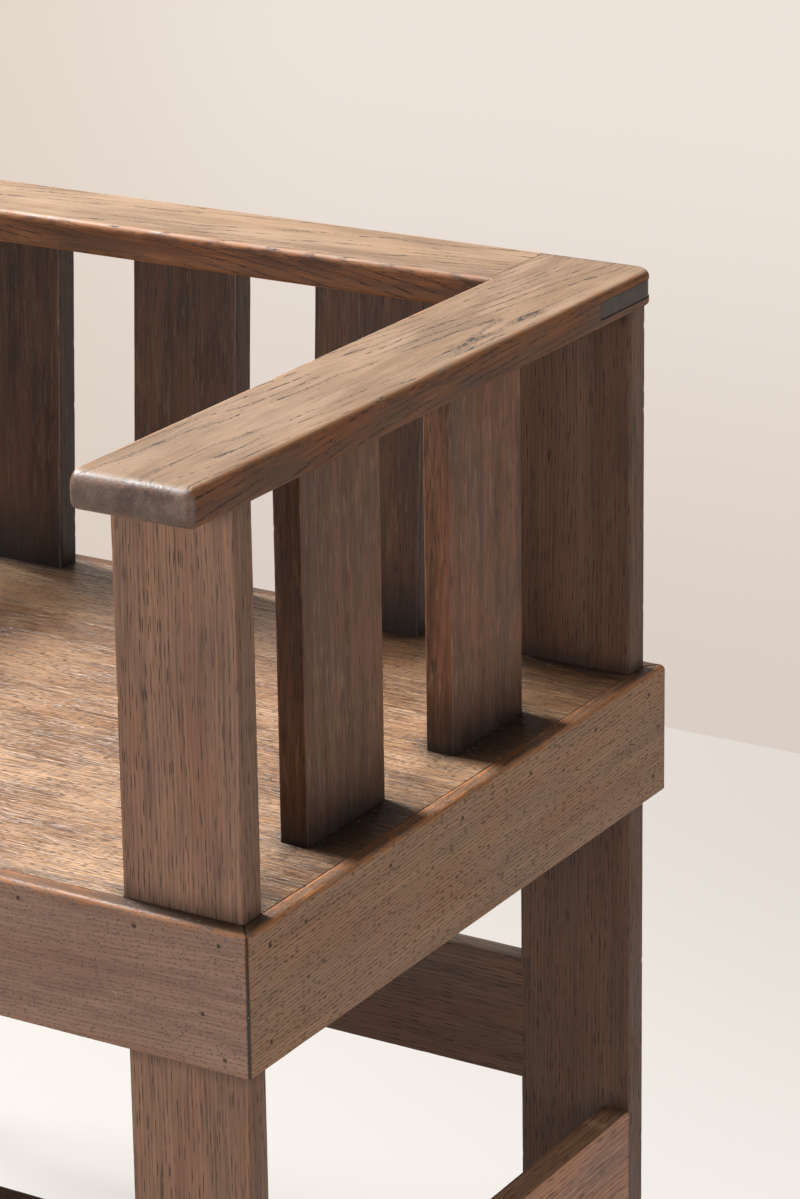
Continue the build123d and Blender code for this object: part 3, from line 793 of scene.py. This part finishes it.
def buildRowTree():
    tree, add, given = geometryTree("slatRow", {
        "Blank": ("Object", None),
        "Count": ("Int", 2),
        "Start": ("Vector", None),
        "Step": ("Vector", None),
        "Turn": ("Vector", None),
        "First seed": ("Float", 10.0),
        "First tone": ("Float", 1.0),
        "Tone step": ("Float", 0.0),
        "Finish": ("Material", None),
    })
    spread = {"Count": given["Count"], "Start Location": given["Start"], "Offset": given["Step"]}
    line = add("GeometryNodeMeshLine", spread, mode="OFFSET")[0]
    blank = add("GeometryNodeObjectInfo", {"Object": given["Blank"]})["Geometry"]
    turn = add("FunctionNodeEulerToRotation", given["Turn"])[0]
    row = add("GeometryNodeInstanceOnPoints", {"Points": line, "Instance": blank, "Rotation": turn})[0]
    number = add("GeometryNodeInputIndex")[0]
    seed = add("timesPlus", number, slatMake["seedStep"], given["First seed"])
    tone = add("timesPlus", number, given["Tone step"], given["First tone"])
    for label, value in (("boardSeed", seed), ("boardTone", tone)):
        marked = {"Geometry": row, "Name": label, "Value": value}
        row = add("GeometryNodeStoreNamedAttribute", marked, data_type="FLOAT", domain="INSTANCE")[0]
    whole = add("GeometryNodeRealizeInstances", row)[0]
    worn = add("GeometryNodeGroup", whole, node_tree=wearTree)[0]
    finished = add("GeometryNodeSetMaterial", {"Geometry": worn, "Material": given["Finish"]})[0]
    add("NodeGroupOutput", finished)
    return tree


rowTree = buildRowTree()


def middleOf(node):
    low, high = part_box(node)
    return (low + high) / 2


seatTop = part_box("seat_board_front")[1].z
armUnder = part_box("arm_right")[0].z


def makeRow(kind, size, names, turn=(0, 0, 0), shift=0.0):
    # slats from the first name to the last, which take the place of the CAD's
    nodes = [f"{'back' if kind == 'back' else 'side'}_slat_{name}" for name in names]
    half = Vector(size) / 2
    blank = makePiece("slatBlank", [straightBoard(-half, half, 2, slatMake["radius"])])
    for label in ("boardSeed", "boardTone"):
        blank.data.attributes.remove(blank.data.attributes[label])  # they come from the row
    first, last = middleOf(nodes[0]), middleOf(nodes[-1])
    for end in (first, last):
        end.x += shift
        end.z = (seatTop + armUnder) / 2
    holder = newObject(f"slats_{kind}", bpy.data.meshes.new(f"slats_{kind}"))
    firstTone, toneStep = slatMake["tones"][kind]
    runTree(holder, rowTree, {
        "Blank": blank,
        "Count": len(names),
        "Start": first,
        "Step": (last - first) / (len(names) - 1),
        "Turn": turn,
        "First seed": slatMake["seeds"][kind],
        "First tone": firstTone,
        "Tone step": toneStep,
        "Finish": slatOak,
    })
    bpy.data.objects.remove(blank)
    settle(holder, "oak_frame", slatOak, *nodes)


slatLow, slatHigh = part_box("side_slat_right_front")
slatThick, slatWide = slatHigh.x - slatLow.x, slatHigh.y - slatLow.y
sideSize = (slatThick + slatMake["sideThick"], slatWide + slatMake["sideWide"], armUnder - seatTop)
for side in sides:
    makeRow(side, sideSize, (f"{side}_front", f"{side}_rear"))

backLow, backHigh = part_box("back_slat_centre")
rake = math.radians(slatMake["rake"])
backLength = (armUnder - seatTop) / math.cos(rake) + 2 * slatMake["bury"]
backSize = (backHigh.x - backLow.x + slatMake["backWide"], slatThick, backLength)
makeRow("back", backSize, ("left", "centre", "right"), (-rake, 0, 0), slatMake["backShift"])


# Stretchers
stretcherMake = {
    "radius": 1.2 * mm,
    "seeds": {"front": 51.0, "rear": 52.7, "left": 53.9, "right": 55.2},
    # the right stretcher's high tone is painted light on a face the lamps leave dim
    "tones": {"front": 0.9, "rear": 0.9, "left": 1.3, "right": 3.3},
}


def makeStretcher(place):
    # its tenons are left to the CAD, so it runs from leg to leg
    low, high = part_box(f"stretcher_{place}")
    axis = 0 if place in ("front", "rear") else 1
    near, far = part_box("leg_front_left")[1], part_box("leg_rear_left" if axis else "leg_front_right")[0]
    low[axis], high[axis] = near[axis], far[axis]
    board = straightBoard(low, high, axis, stretcherMake["radius"], **ownOf(stretcherMake, place))
    piece = wornPiece(f"stretcher_board_{place}", [board])
    settle(piece, "oak_frame", stretcherOak, f"stretcher_{place}")


for place in stretcherMake["seeds"]:
    makeStretcher(place)


# Aprons, mitred round the seat
apronMake = {
    "topRadius": 3.0 * mm,
    "edgeRadius": 1.2 * mm,
    "innerRadius": 0.2 * mm,
    "mitreArris": 0.8 * mm,
    "inset": 0.2 * mm,  # the nail heads stand this far proud
    "seeds": {"front": 61.0, "rear": 62.3, "left": 63.1, "right": 64.8},
    # the right apron's higher tone is painted light on a face the lamps leave dim
    "tones": {"front": 1.1, "rear": 0.95, "left": 1.0, "right": 1.4},
}


def makeApron(place):
    low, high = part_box(f"apron_{place}")
    axis = 0 if place in ("front", "rear") else 1
    outward = {"front": -1, "rear": 1, "left": -1, "right": 1}[place]
    thinAxis = 1 - axis
    low[axis] += apronMake["inset"]
    high[axis] -= apronMake["inset"]
    (high if outward > 0 else low)[thinAxis] -= outward * apronMake["inset"]
    radii = {}
    for a, b in ((-1, -1), (-1, 1), (1, -1), (1, 1)):
        thinSign, upSign = (a, b) if (axis + 1) % 3 == thinAxis else (b, a)
        outer = apronMake["topRadius"] if upSign > 0 else apronMake["edgeRadius"]
        radii[(a, b)] = outer if thinSign == outward else apronMake["innerRadius"]
    runs = []
    for neighbour in (("left", "right") if axis == 0 else ("front", "rear")):
        near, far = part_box(f"apron_{neighbour}")
        runs.append((far - near)[axis])
    ends = {"chamfers": (apronMake["mitreArris"],) * 2, "openEnds": (True, True)}
    ends["mitre"] = (thinAxis, outward, *runs)
    board = straightBoard(low, high, axis, radii, **ends, **ownOf(apronMake, place))
    piece = wornPiece(f"apron_board_{place}", [board])
    settle(piece, "oak_aprons", apronSideOak if axis else apronFrontOak, f"apron_{place}")


for place in apronMake["seeds"]:
    makeApron(place)
print("straight boards done")


# Arms, with an open slot at the rear for the rail's tongues
armMake = {
    "frontRadius": 6.0 * mm,
    "rearRadius": 14.0 * mm,
    "topRadius": 4.0 * mm,
    "frontTopRadius": 8.5 * mm,  # the front ends are rounder, where hands rest
    "underRadius": 2.2 * mm,
    "frontUnderRadius": 5.0 * mm,
    "jointRadius": 0.25 * mm,
    "lap": 1.0 * mm,  # the tongues are this much wider than the rail
    "slotHeight": 11 * mm,
    "gap": 0.3 * mm,  # round a tongue, and at the joint with the rail
    "step": 2.5 * mm,
    "cornerSteps": 8,
    "jointRows": (6 * mm, 4 * mm, 3 * mm, 2 * mm, 1 * mm, 0),
    "holds": (0.8 * mm, 6.0 * mm),  # rings inside the edge
    "tongueArris": 0.3 * mm,
    "tongueSunk": 0.35 * mm,
    "seeds": {"left": 71.0, "right": 73.6, "rail": 77.2},
    "tones": {"left": 1.0, "right": 1.0, "rail": 1.05, "tongues": 0.36},
}


def runLine(start, stop, step):
    # evenly spaced points from start up to but without stop
    start, stop = np.array(start, float), np.array(stop, float)
    count = max(1, round(np.linalg.norm(stop - start) / step))
    return [start + (stop - start) * k / count for k in range(count)]


def arcPoints(centre, radius, first, top, under):
    # the rounded corner of a plan outline, a quarter turn from its first angle
    middle = math.radians(first + 45)
    signs = (round(math.cos(middle) * math.sqrt(2)), round(math.sin(middle) * math.sqrt(2)))
    points = []
    for k in range(armMake["cornerSteps"] + 1):
        angle = math.radians(first + 90 * k / armMake["cornerSteps"])
        out = (math.cos(angle), math.sin(angle))
        place = (centre[0] + radius * out[0], centre[1] + radius * out[1])
        points.append(edgePoint(place, out, top, under, signs, radius))
    return points


def rowPoints(start, stop, out, top, under, step):
    # evenly spaced points of a straight edge, both ends with them
    places = runLine(start, stop, step) + [np.array(stop, float)]
    return [edgePoint(place, out, top, under) for place in places]


def armOutline(low, high, jointY):
    # plan outline of the right arm, anticlockwise; its rows start clear of the corners' fillets
    front, rear, joint = armMake["frontRadius"], armMake["rearRadius"], armMake["jointRadius"]
    top, under = armMake["topRadius"], armMake["underRadius"]
    frontTop, frontUnder = armMake["frontTopRadius"], armMake["frontUnderRadius"]
    step = armMake["step"]
    hold = armMake["holds"][-1] + step / 2
    corner = ((top, frontTop), (under, frontUnder))
    edge, frontEdge = (top, under, step), (frontTop, frontUnder, step)
    points = arcPoints((low.x + front, low.y + front), front, 180, *corner)
    points += rowPoints((low.x + top + hold, low.y), (high.x - top - hold, low.y), (0, -1), *frontEdge)
    points += arcPoints((high.x - front, low.y + front), front, 270, *corner)
    points += rowPoints((high.x, low.y + frontTop + hold), (high.x, high.y - rear - step), (1, 0), *edge)
    points += arcPoints((high.x - rear, high.y - rear), rear, 0, top, under)
    points += rowPoints((high.x - rear - step, high.y), (low.x + hold, high.y), (0, 1), *edge)
    # the joint with the rail: square, dipping at its front end as the rail's own arris does
    points.append(edgePoint((low.x, high.y), (-1, 1), (joint, top), (joint, under), wear=0))
    for depth in armMake["jointRows"]:
        left = top - min(depth, top)
        radius = max(joint, top - math.sqrt(top**2 - left**2))
        points.append(edgePoint((low.x, jointY + depth), (-1, 0), radius, joint, wear=0))
    points += rowPoints((low.x, jointY - step), (low.x, low.y + frontTop + hold), (-1, 0), *edge)
    return points


armLow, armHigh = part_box("arm_right")
railLow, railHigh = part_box("back_rail")
slotLow = (armLow.z + armHigh.z) / 2 - armMake["slotHeight"] / 2
slotHigh = slotLow + armMake["slotHeight"]


def makeArm(name):
    side = sides[name]
    outline = armOutline(armLow, armHigh, railLow.y + armMake["lap"])
    if side < 0:
        outline = mirrored(outline)
    centre = ((armLow.x + armHigh.x) / 2 * side, (armLow.y + armHigh.y) / 2, (armLow.z + armHigh.z) / 2)
    place = (armLow.z, armHigh.z, 1, centre, (armHigh - armLow) / 2, armMake["holds"])
    board = outlinePlate(outline, *place, slot=(slotLow, slotHigh, railLow.y), **ownOf(armMake, name))
    piece = wornPiece(f"arm_board_{name}", [board], wear["armAmount"])
    settle(piece, "oak_arms", armOak, f"arm_{name}")


def tongueOutline(low, high):
    # plan outline of the right tongue, which fills the arm's slot
    rear, edge, step = armMake["rearRadius"], (armMake["tongueArris"],) * 2, 2 * armMake["step"]
    points = [edgePoint((low.x, low.y), (-1, -1), *edge)]
    points += rowPoints((low.x + step, low.y), (high.x - step, low.y), (0, -1), *edge, step)
    points.append(edgePoint((high.x, low.y), (1, -1), *edge))
    points += rowPoints((high.x, low.y + step), (high.x, high.y - rear - step), (1, 0), *edge, step)
    points += arcPoints((high.x - rear, high.y - rear), rear, 0, *edge)
    points += rowPoints((high.x - rear - step, high.y), (low.x + step, high.y), (0, 1), *edge, step)
    points.append(edgePoint((low.x, high.y), (-1, 1), *edge))
    return points + rowPoints((low.x, high.y - step), (low.x, low.y + step), (-1, 0), *edge, step)


def makeRail():
    gap, sunk = armMake["gap"], armMake["tongueSunk"]
    radii = {(a, b): armMake["topRadius" if b > 0 else "underRadius"] for a in (-1, 1) for b in (-1, 1)}
    low = Vector((-armLow.x + gap / 2, railLow.y + armMake["lap"], armLow.z))
    high = Vector((armLow.x - gap / 2, railHigh.y, armHigh.z))
    board = straightBoard(low, high, 0, radii, **ownOf(armMake, "rail"))
    piece = wornPiece("rail_board", [board], wear["armAmount"])
    low = Vector((armLow.x - gap, railLow.y + gap, slotLow + gap))
    high = Vector((armHigh.x - sunk, armHigh.y - sunk, slotHigh - gap))
    outline = tongueOutline(low, high)
    centre = (0, (railLow.y + railHigh.y) / 2, (armLow.z + armHigh.z) / 2)
    place = (low.z, high.z, 0, centre, (railHigh - railLow) / 2, armMake["holds"][:1])
    boards = []
    for side, line in ((1, outline), (-1, mirrored(outline))):
        own = {"seed": armMake["seeds"]["rail"] + side, "tone": armMake["tones"]["tongues"]}
        boards.append(outlinePlate(line, *place, **own))
    tongues = makePiece("rail_tongues", boards)
    work = bmesh.new()
    for part in (piece, tongues):
        smoothSides(part)
        work.from_mesh(part.data)
    work.to_mesh(piece.data)
    work.free()
    bpy.data.objects.remove(tongues)
    settle(piece, "oak_arms", armOak, "back_rail")


for name in sides:
    makeArm(name)
makeRail()


# Seat boards, notched round the legs
seatMake = {
    "arris": 0.3 * mm,
    "jointGap": 0.2 * mm,
    "notchClearance": 0.3 * mm,
    "holds": (0.6 * mm, 2.4 * mm),
    "step": 4 * mm,
    "seeds": {"seat_board_front": 81.0, "seat_board_rear": 83.3, "seat_strip_rear": 85.9},
    "tones": {"seat_board_front": 1.0, "seat_board_rear": 1.0, "seat_strip_rear": 0.9},
}


def rectOutline(corners, step, radius):
    # points round a plan polygon of square corners, anticlockwise, each with its outward direction
    points = []
    count = len(corners)
    for k in range(count):
        before, here, after = (np.array(corners[(k + d) % count], float) for d in (-1, 0, 1))
        into, away = ((line / np.linalg.norm(line)) for line in (here - before, after - here))
        outIn, outAway = np.array([into[1], -into[0]]), np.array([away[1], -away[0]])
        points.append(edgePoint(here, outIn + outAway, radius, radius))
        points += [edgePoint(p, outAway, radius, radius) for p in runLine(here, after, step)[1:]]
    return points


def makeSeatBoard(node):
    low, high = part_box(node)
    clear, gap = seatMake["notchClearance"], seatMake["jointGap"]
    legLow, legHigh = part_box("leg_front_right")
    inner, behindLeg, beforeLeg = legLow.x - clear, legHigh.y + clear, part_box("leg_rear_right")[0].y - clear
    outer, front, rear = high.x - gap, low.y + gap, high.y - gap
    corners = {
        "seat_board_front": [(inner, low.y), (inner, behindLeg), (outer, behindLeg), (outer, rear)],
        "seat_board_rear": [(outer, front), (outer, rear)],
        "seat_strip_rear": [(outer, front), (outer, beforeLeg), (inner, beforeLeg), (inner, rear)],
    }[node]
    corners += [(-x, y) for x, y in reversed(corners)]
    outline = rectOutline(corners, seatMake["step"], seatMake["arris"])
    place = (low.z, high.z, 0, (low + high) / 2, (high - low) / 2, seatMake["holds"])
    piece = makePiece(f"{node}_plank", [outlinePlate(outline, *place, **ownOf(seatMake, node))])
    settle(piece, "oak_seat", seatOak, node)


for node in seatMake["seeds"]:
    makeSeatBoard(node)


# Nail heads, a few dozen small dark squares, set at the CAD pins by Geometry Nodes
nailMake = {
    "size": 2.3 * mm,
    "thickness": 0.5 * mm,
    "taper": 0.8,  # the head's top beside its bottom
    "twist": 0.25,  # radians, hand-driven nails aren't square to each other
    "seed": 5,
    "rustScale": 900.0,  # to the metre, patches of about 1 mm
}


def nailPlaces():
    # the outer end of each CAD pin and the way it faces
    work = bmesh.new()
    work.from_mesh(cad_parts["apron_nails"].data)
    bmesh.ops.remove_doubles(work, verts=work.verts, dist=0.01 * mm)
    left = set(work.verts)
    found = []
    while left:
        island, edge = [], [left.pop()]
        while edge:
            vert = edge.pop()
            island.append(tuple(vert.co))
            beside = {link.other_vert(vert) for link in vert.link_edges} & left
            left -= beside
            edge += beside
        low, high = np.min(island, axis=0), np.max(island, axis=0)
        middle = (low + high) / 2
        axis = 0 if (high - low)[0] >= (high - low)[1] else 1
        sign = 1 if middle[axis] > 0 else -1
        apron = {(0, 1): "right", (0, -1): "left", (1, 1): "rear", (1, -1): "front"}[(axis, sign)]
        place, out = Vector(middle), Vector((0, 0, 0))
        place[axis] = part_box(f"apron_{apron}")[(sign + 1) // 2][axis]
        out[axis] = sign
        found.append((place, out))
    work.free()
    return sorted(found, key=lambda pair: tuple(round(v, 5) for v in pair[0]))


def buildNailTree():
    tree, add, given = geometryTree("nailHeads", {
        "Size": ("Float", nailMake["size"]),
        "Thickness": ("Float", nailMake["thickness"]),
        "Twist": ("Float", nailMake["twist"]),
        "Seed": ("Int", nailMake["seed"]),
        "Finish": ("Material", None),
    })
    corner = add("times", given["Size"], 0.7071)  # a square's half diagonal
    radii = {"Radius Top": add("times", corner, nailMake["taper"]), "Radius Bottom": corner}
    head = add("GeometryNodeMeshCone", {"Vertices": 4, **radii, "Depth": given["Thickness"]})[0]
    out = add("vectorNamed", "nailOut")
    facing = add("FunctionNodeAlignRotationToVector", {"Vector": out}, axis="Z")[0]
    limits = {"Min": add("times", given["Twist"], -1.0), "Max": given["Twist"], "Seed": given["Seed"]}
    spin = add("plus", add("FunctionNodeRandomValue", limits, data_type="FLOAT")["Value"], math.pi / 4)
    turned = add("FunctionNodeAxisAngleToRotation", {"Axis": (0, 0, 1), "Angle": spin})[0]
    rotation = add("FunctionNodeRotateRotation", facing, turned, rotation_space="LOCAL")[0]
    spread = {"Points": given["Geometry"], "Instance": head, "Rotation": rotation}
    whole = add("GeometryNodeRealizeInstances", add("GeometryNodeInstanceOnPoints", spread)[0])[0]
    finished = add("GeometryNodeSetMaterial", {"Geometry": whole, "Material": given["Finish"]})[0]
    add("NodeGroupOutput", finished)
    return tree


def nailFinish():
    # old iron, nearly black, rusted in places
    material = bpy.data.materials.new("darkIronNails")
    add = emptyNodes(material)
    rust = add("noise", add("ShaderNodeTexCoord")["Object"], nailMake["rustScale"], 3.0)[0]
    colour = add("mixColour", add("smooth", rust, 0.4, 0.7), linear("#33261f"), linear("#5a4032"))
    rough = add("smooth", rust, 0.3, 0.7, 0.45, 0.75)
    bump = add("bump", rust, 0.4, 0.1 * mm)
    finished = {"Base Color": colour, "Roughness": rough, "Normal": bump, "Metallic": 0.6}
    add("ShaderNodeOutputMaterial", add("ShaderNodeBsdfPrincipled", finished)[0])
    return material


def makeNails():
    # the heads end flush with the CAD aprons' faces
    places = nailPlaces()
    mesh = bpy.data.meshes.new("nail_heads")
    mesh.from_pydata([tuple(place - out * nailMake["thickness"]) for place, out in places], [], [])
    outs = np.array([tuple(out) for place, out in places], np.float32)
    mesh.attributes.new("nailOut", "FLOAT_VECTOR", "POINT").data.foreach_set("vector", outs.ravel())
    piece = newObject("nail_heads", mesh)
    iron = nailFinish()
    values = {label: nailMake[label.lower()] for label in ("Size", "Thickness", "Twist", "Seed")}
    runTree(piece, buildNailTree(), {**values, "Finish": iron})
    settle(piece, "steel_nails", iron, "apron_nails")
    print("nails", len(places))


makeNails()


# Cleats under the seat keep their CAD shape; sawn oak, never stained, with saw marks and fine dark fibres
cleatMake = {
    "sawScale": 55.0,  # to the metre, waves of about 18 mm
    "fibreScale": 700.0,  # of about 1.4 mm, drawn coarser than real fibres so that they show
}


def cleatFinish():
    material = bpy.data.materials.new("sawnOakCleats")
    add = emptyNodes(material)
    place = add("ShaderNodeTexCoord")["Object"]
    saw = add("noise", place, cleatMake["sawScale"], 4.0, 0.7)[0]
    fine = add("noise", place, cleatMake["fibreScale"], 3.0)[0]
    colour = add("mixColour", add("smooth", saw, 0.3, 0.7), linear("#5a4434"), linear("#86694f"))
    colour = add("mixColour", add("smooth", fine, 0.55, 0.75, 0.0, 0.5), colour, linear("#35251c"))
    rough, bump = add("smooth", saw, 0.3, 0.7, 0.65, 0.85), add("bump", fine, 0.5, 0.2 * mm)
    shader = add("ShaderNodeBsdfPrincipled", {"Base Color": colour, "Roughness": rough, "Normal": bump})
    add("ShaderNodeOutputMaterial", shader[0])
    return material


cleatOak = cleatFinish()
for place in ("front", "rear", "left", "right"):
    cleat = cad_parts[f"seat_cleat_{place}"]
    cleat.data.materials.clear()
    cleat.data.materials.append(cleatOak)
print("every board done")


# Camera at the photograph's place
view = {
    "place": (1.4281, -1.8555, 1.3086),
    "yaw": 31.344,  # degrees from +Y towards -X
    "pitch": -16.821,
    "roll": -0.8208,
    "focalPixels": 4123.4,
    "frameHeight": 1199,
    "sensor": 36.0,
    "shiftY": -0.15,
    "clipStart": 0.05,  # metres
}
yaw, pitch, roll = (math.radians(view[k]) for k in ("yaw", "pitch", "roll"))
ahead = Vector((-math.sin(yaw) * math.cos(pitch), math.cos(yaw) * math.cos(pitch), math.sin(pitch)))
right = ahead.cross(upAxis).normalized()
above = right.cross(ahead)
turnedRight = math.cos(roll) * right + math.sin(roll) * above
turnedUp = -math.sin(roll) * right + math.cos(roll) * above
cameraData = bpy.data.cameras.new("viewCamera")
cameraData.sensor_width = view["sensor"]
cameraData.lens = view["focalPixels"] / view["frameHeight"] * view["sensor"]
cameraData.shift_y = view["shiftY"]
cameraData.clip_start = view["clipStart"]
camera = newObject("viewCamera", cameraData)
turn = Matrix((turnedRight, turnedUp, -ahead)).transposed().to_4x4()
camera.matrix_world = Matrix.Translation(view["place"]) @ turn
bpy.context.scene.camera = camera


# Studio: pale floor and wall, three soft lamps and a faint sky
studio = {
    "floorSize": 9.0,
    "floorNear": "#dad5d0",
    "floorFar": "#c9c2bb",
    "floorLit": 0.10,
    "floorGlow": 0.99,
    "floorMottle": (1.5, 0.1),  # to the metre, and how many metres it shifts the turn of tone
    "floorPlaces": (0.25, 1.1),  # metres behind the chair's middle, where the floor turns from near to far
    "wallY": 1.154,  # behind the chair
    "wallHeight": 6.0,
    "wallLight": 0.3,
    "wallLow": "#dbcec5",
    "wallHigh": "#ede3da",
    "wallSide": "#dfcfc2",
    "wallRise": (0.0, 0.62),  # metres
    "wallTurn": (-0.45, -0.95),  # metres
    "wallTurned": 0.7,
    "skyLight": 0.12,
    # each lamp's place, size and power
    "keyLamp": ((-2.18, 0.38, 2.9), 1.2, 340),
    "fillLamp": ((0.5, -3.4, 0.35), 2.3, 112),
    "sideLamp": ((3.6, -0.3, 0.35), 1.8, 38),
    "lampTarget": (0, 0, 0.5),
}


def raysThatSee(add):
    # camera rays, and those that metal and glass pass on, see the pale background
    # the rest get little light from it
    path = add("ShaderNodeLightPath")
    seen = add("higher", path["Is Camera Ray"], path["Is Glossy Ray"])
    return add("higher", seen, path["Is Transmission Ray"])


def flatQuad(name, corners, material):
    mesh = bpy.data.meshes.new(name)
    mesh.from_pydata(corners, [], [(0, 1, 2, 3)])
    mesh.materials.append(material)
    quad = newObject(name, mesh)


def makeFloor():
    material = bpy.data.materials.new("paleFloor")
    add = emptyNodes(material)
    place = add("ShaderNodeTexCoord")["Object"]
    scale, amount = studio["floorMottle"]
    depth = add("timesPlus", add("noise", place, scale, 3.0)[0], amount, add("split", place)[1])
    far = add("smooth", depth, *studio["floorPlaces"])
    colour = add("mixColour", far, linear(studio["floorNear"]), linear(studio["floorFar"]))
    # part of what the camera sees is a glow, so that the chair's shadow stays as pale as in the photo
    glow = add("times", raysThatSee(add), studio["floorGlow"])
    shader = add("ShaderNodeBsdfPrincipled", {
        "Base Color": add("scale", colour, studio["floorLit"]), "Roughness": 0.7,
        "Emission Color": colour, "Emission Strength": glow,
    })
    add("ShaderNodeOutputMaterial", shader[0])
    size = studio["floorSize"]
    corners = [(x * size, y * size, 0) for x, y in ((-1, -1), (1, -1), (1, 1), (-1, 1))]
    flatQuad("studioFloor", corners, material)


def makeWall():
    # seen from the front only, with a soft change of tone along it
    material = bpy.data.materials.new("paleWall")
    add = emptyNodes(material)
    along, depth, rise = add("split", add("ShaderNodeTexCoord")["Object"])
    rise = add("smooth", rise, *studio["wallRise"])
    colour = add("mixColour", rise, linear(studio["wallLow"]), linear(studio["wallHigh"]))
    turn = add("times", add("smooth", along, *studio["wallTurn"]), studio["wallTurned"])
    colour = add("mixColour", turn, colour, linear(studio["wallSide"]))
    # the wall lights the chair less than it shows, so that shadows keep their depth
    glow = add("timesPlus", raysThatSee(add), 1.0 - studio["wallLight"], studio["wallLight"])
    front = add("ShaderNodeEmission", colour, glow)[0]
    behind = add("ShaderNodeBsdfTransparent")[0]
    facing = add("ShaderNodeNewGeometry")["Backfacing"]
    add("ShaderNodeOutputMaterial", add("ShaderNodeMixShader", facing, front, behind)[0])
    size, y, height = studio["floorSize"], studio["wallY"], studio["wallHeight"]
    flatQuad("studioWall", [(-size, y, 0), (size, y, 0), (size, y, height), (-size, y, height)], material)


def makeLamp(name):
    place, size, power = studio[name]
    data = bpy.data.lights.new(name, "AREA")
    data.shape = "DISK"
    data.size = size
    data.energy = power
    lamp = newObject(name, data)
    lamp.location = place
    lamp.rotation_euler = (Vector(studio["lampTarget"]) - Vector(place)).to_track_quat("-Z", "Y").to_euler()


def makeSky():
    sky = bpy.data.worlds.new("studioSky")
    bpy.context.scene.world = sky
    add = emptyNodes(sky)
    pale = linear(studio["wallHigh"])
    lit = add("ShaderNodeBackground", {"Color": pale, "Strength": studio["skyLight"]})[0]
    shown = add("ShaderNodeBackground", {"Color": pale, "Strength": 1.0})[0]
    add("ShaderNodeOutputWorld", add("ShaderNodeMixShader", raysThatSee(add), lit, shown)[0])


makeWall()
makeFloor()
makeSky()
for name in ("keyLamp", "fillLamp", "sideLamp"):
    makeLamp(name)
bpy.context.scene.view_settings.view_transform = "Standard"
print("studio ready")
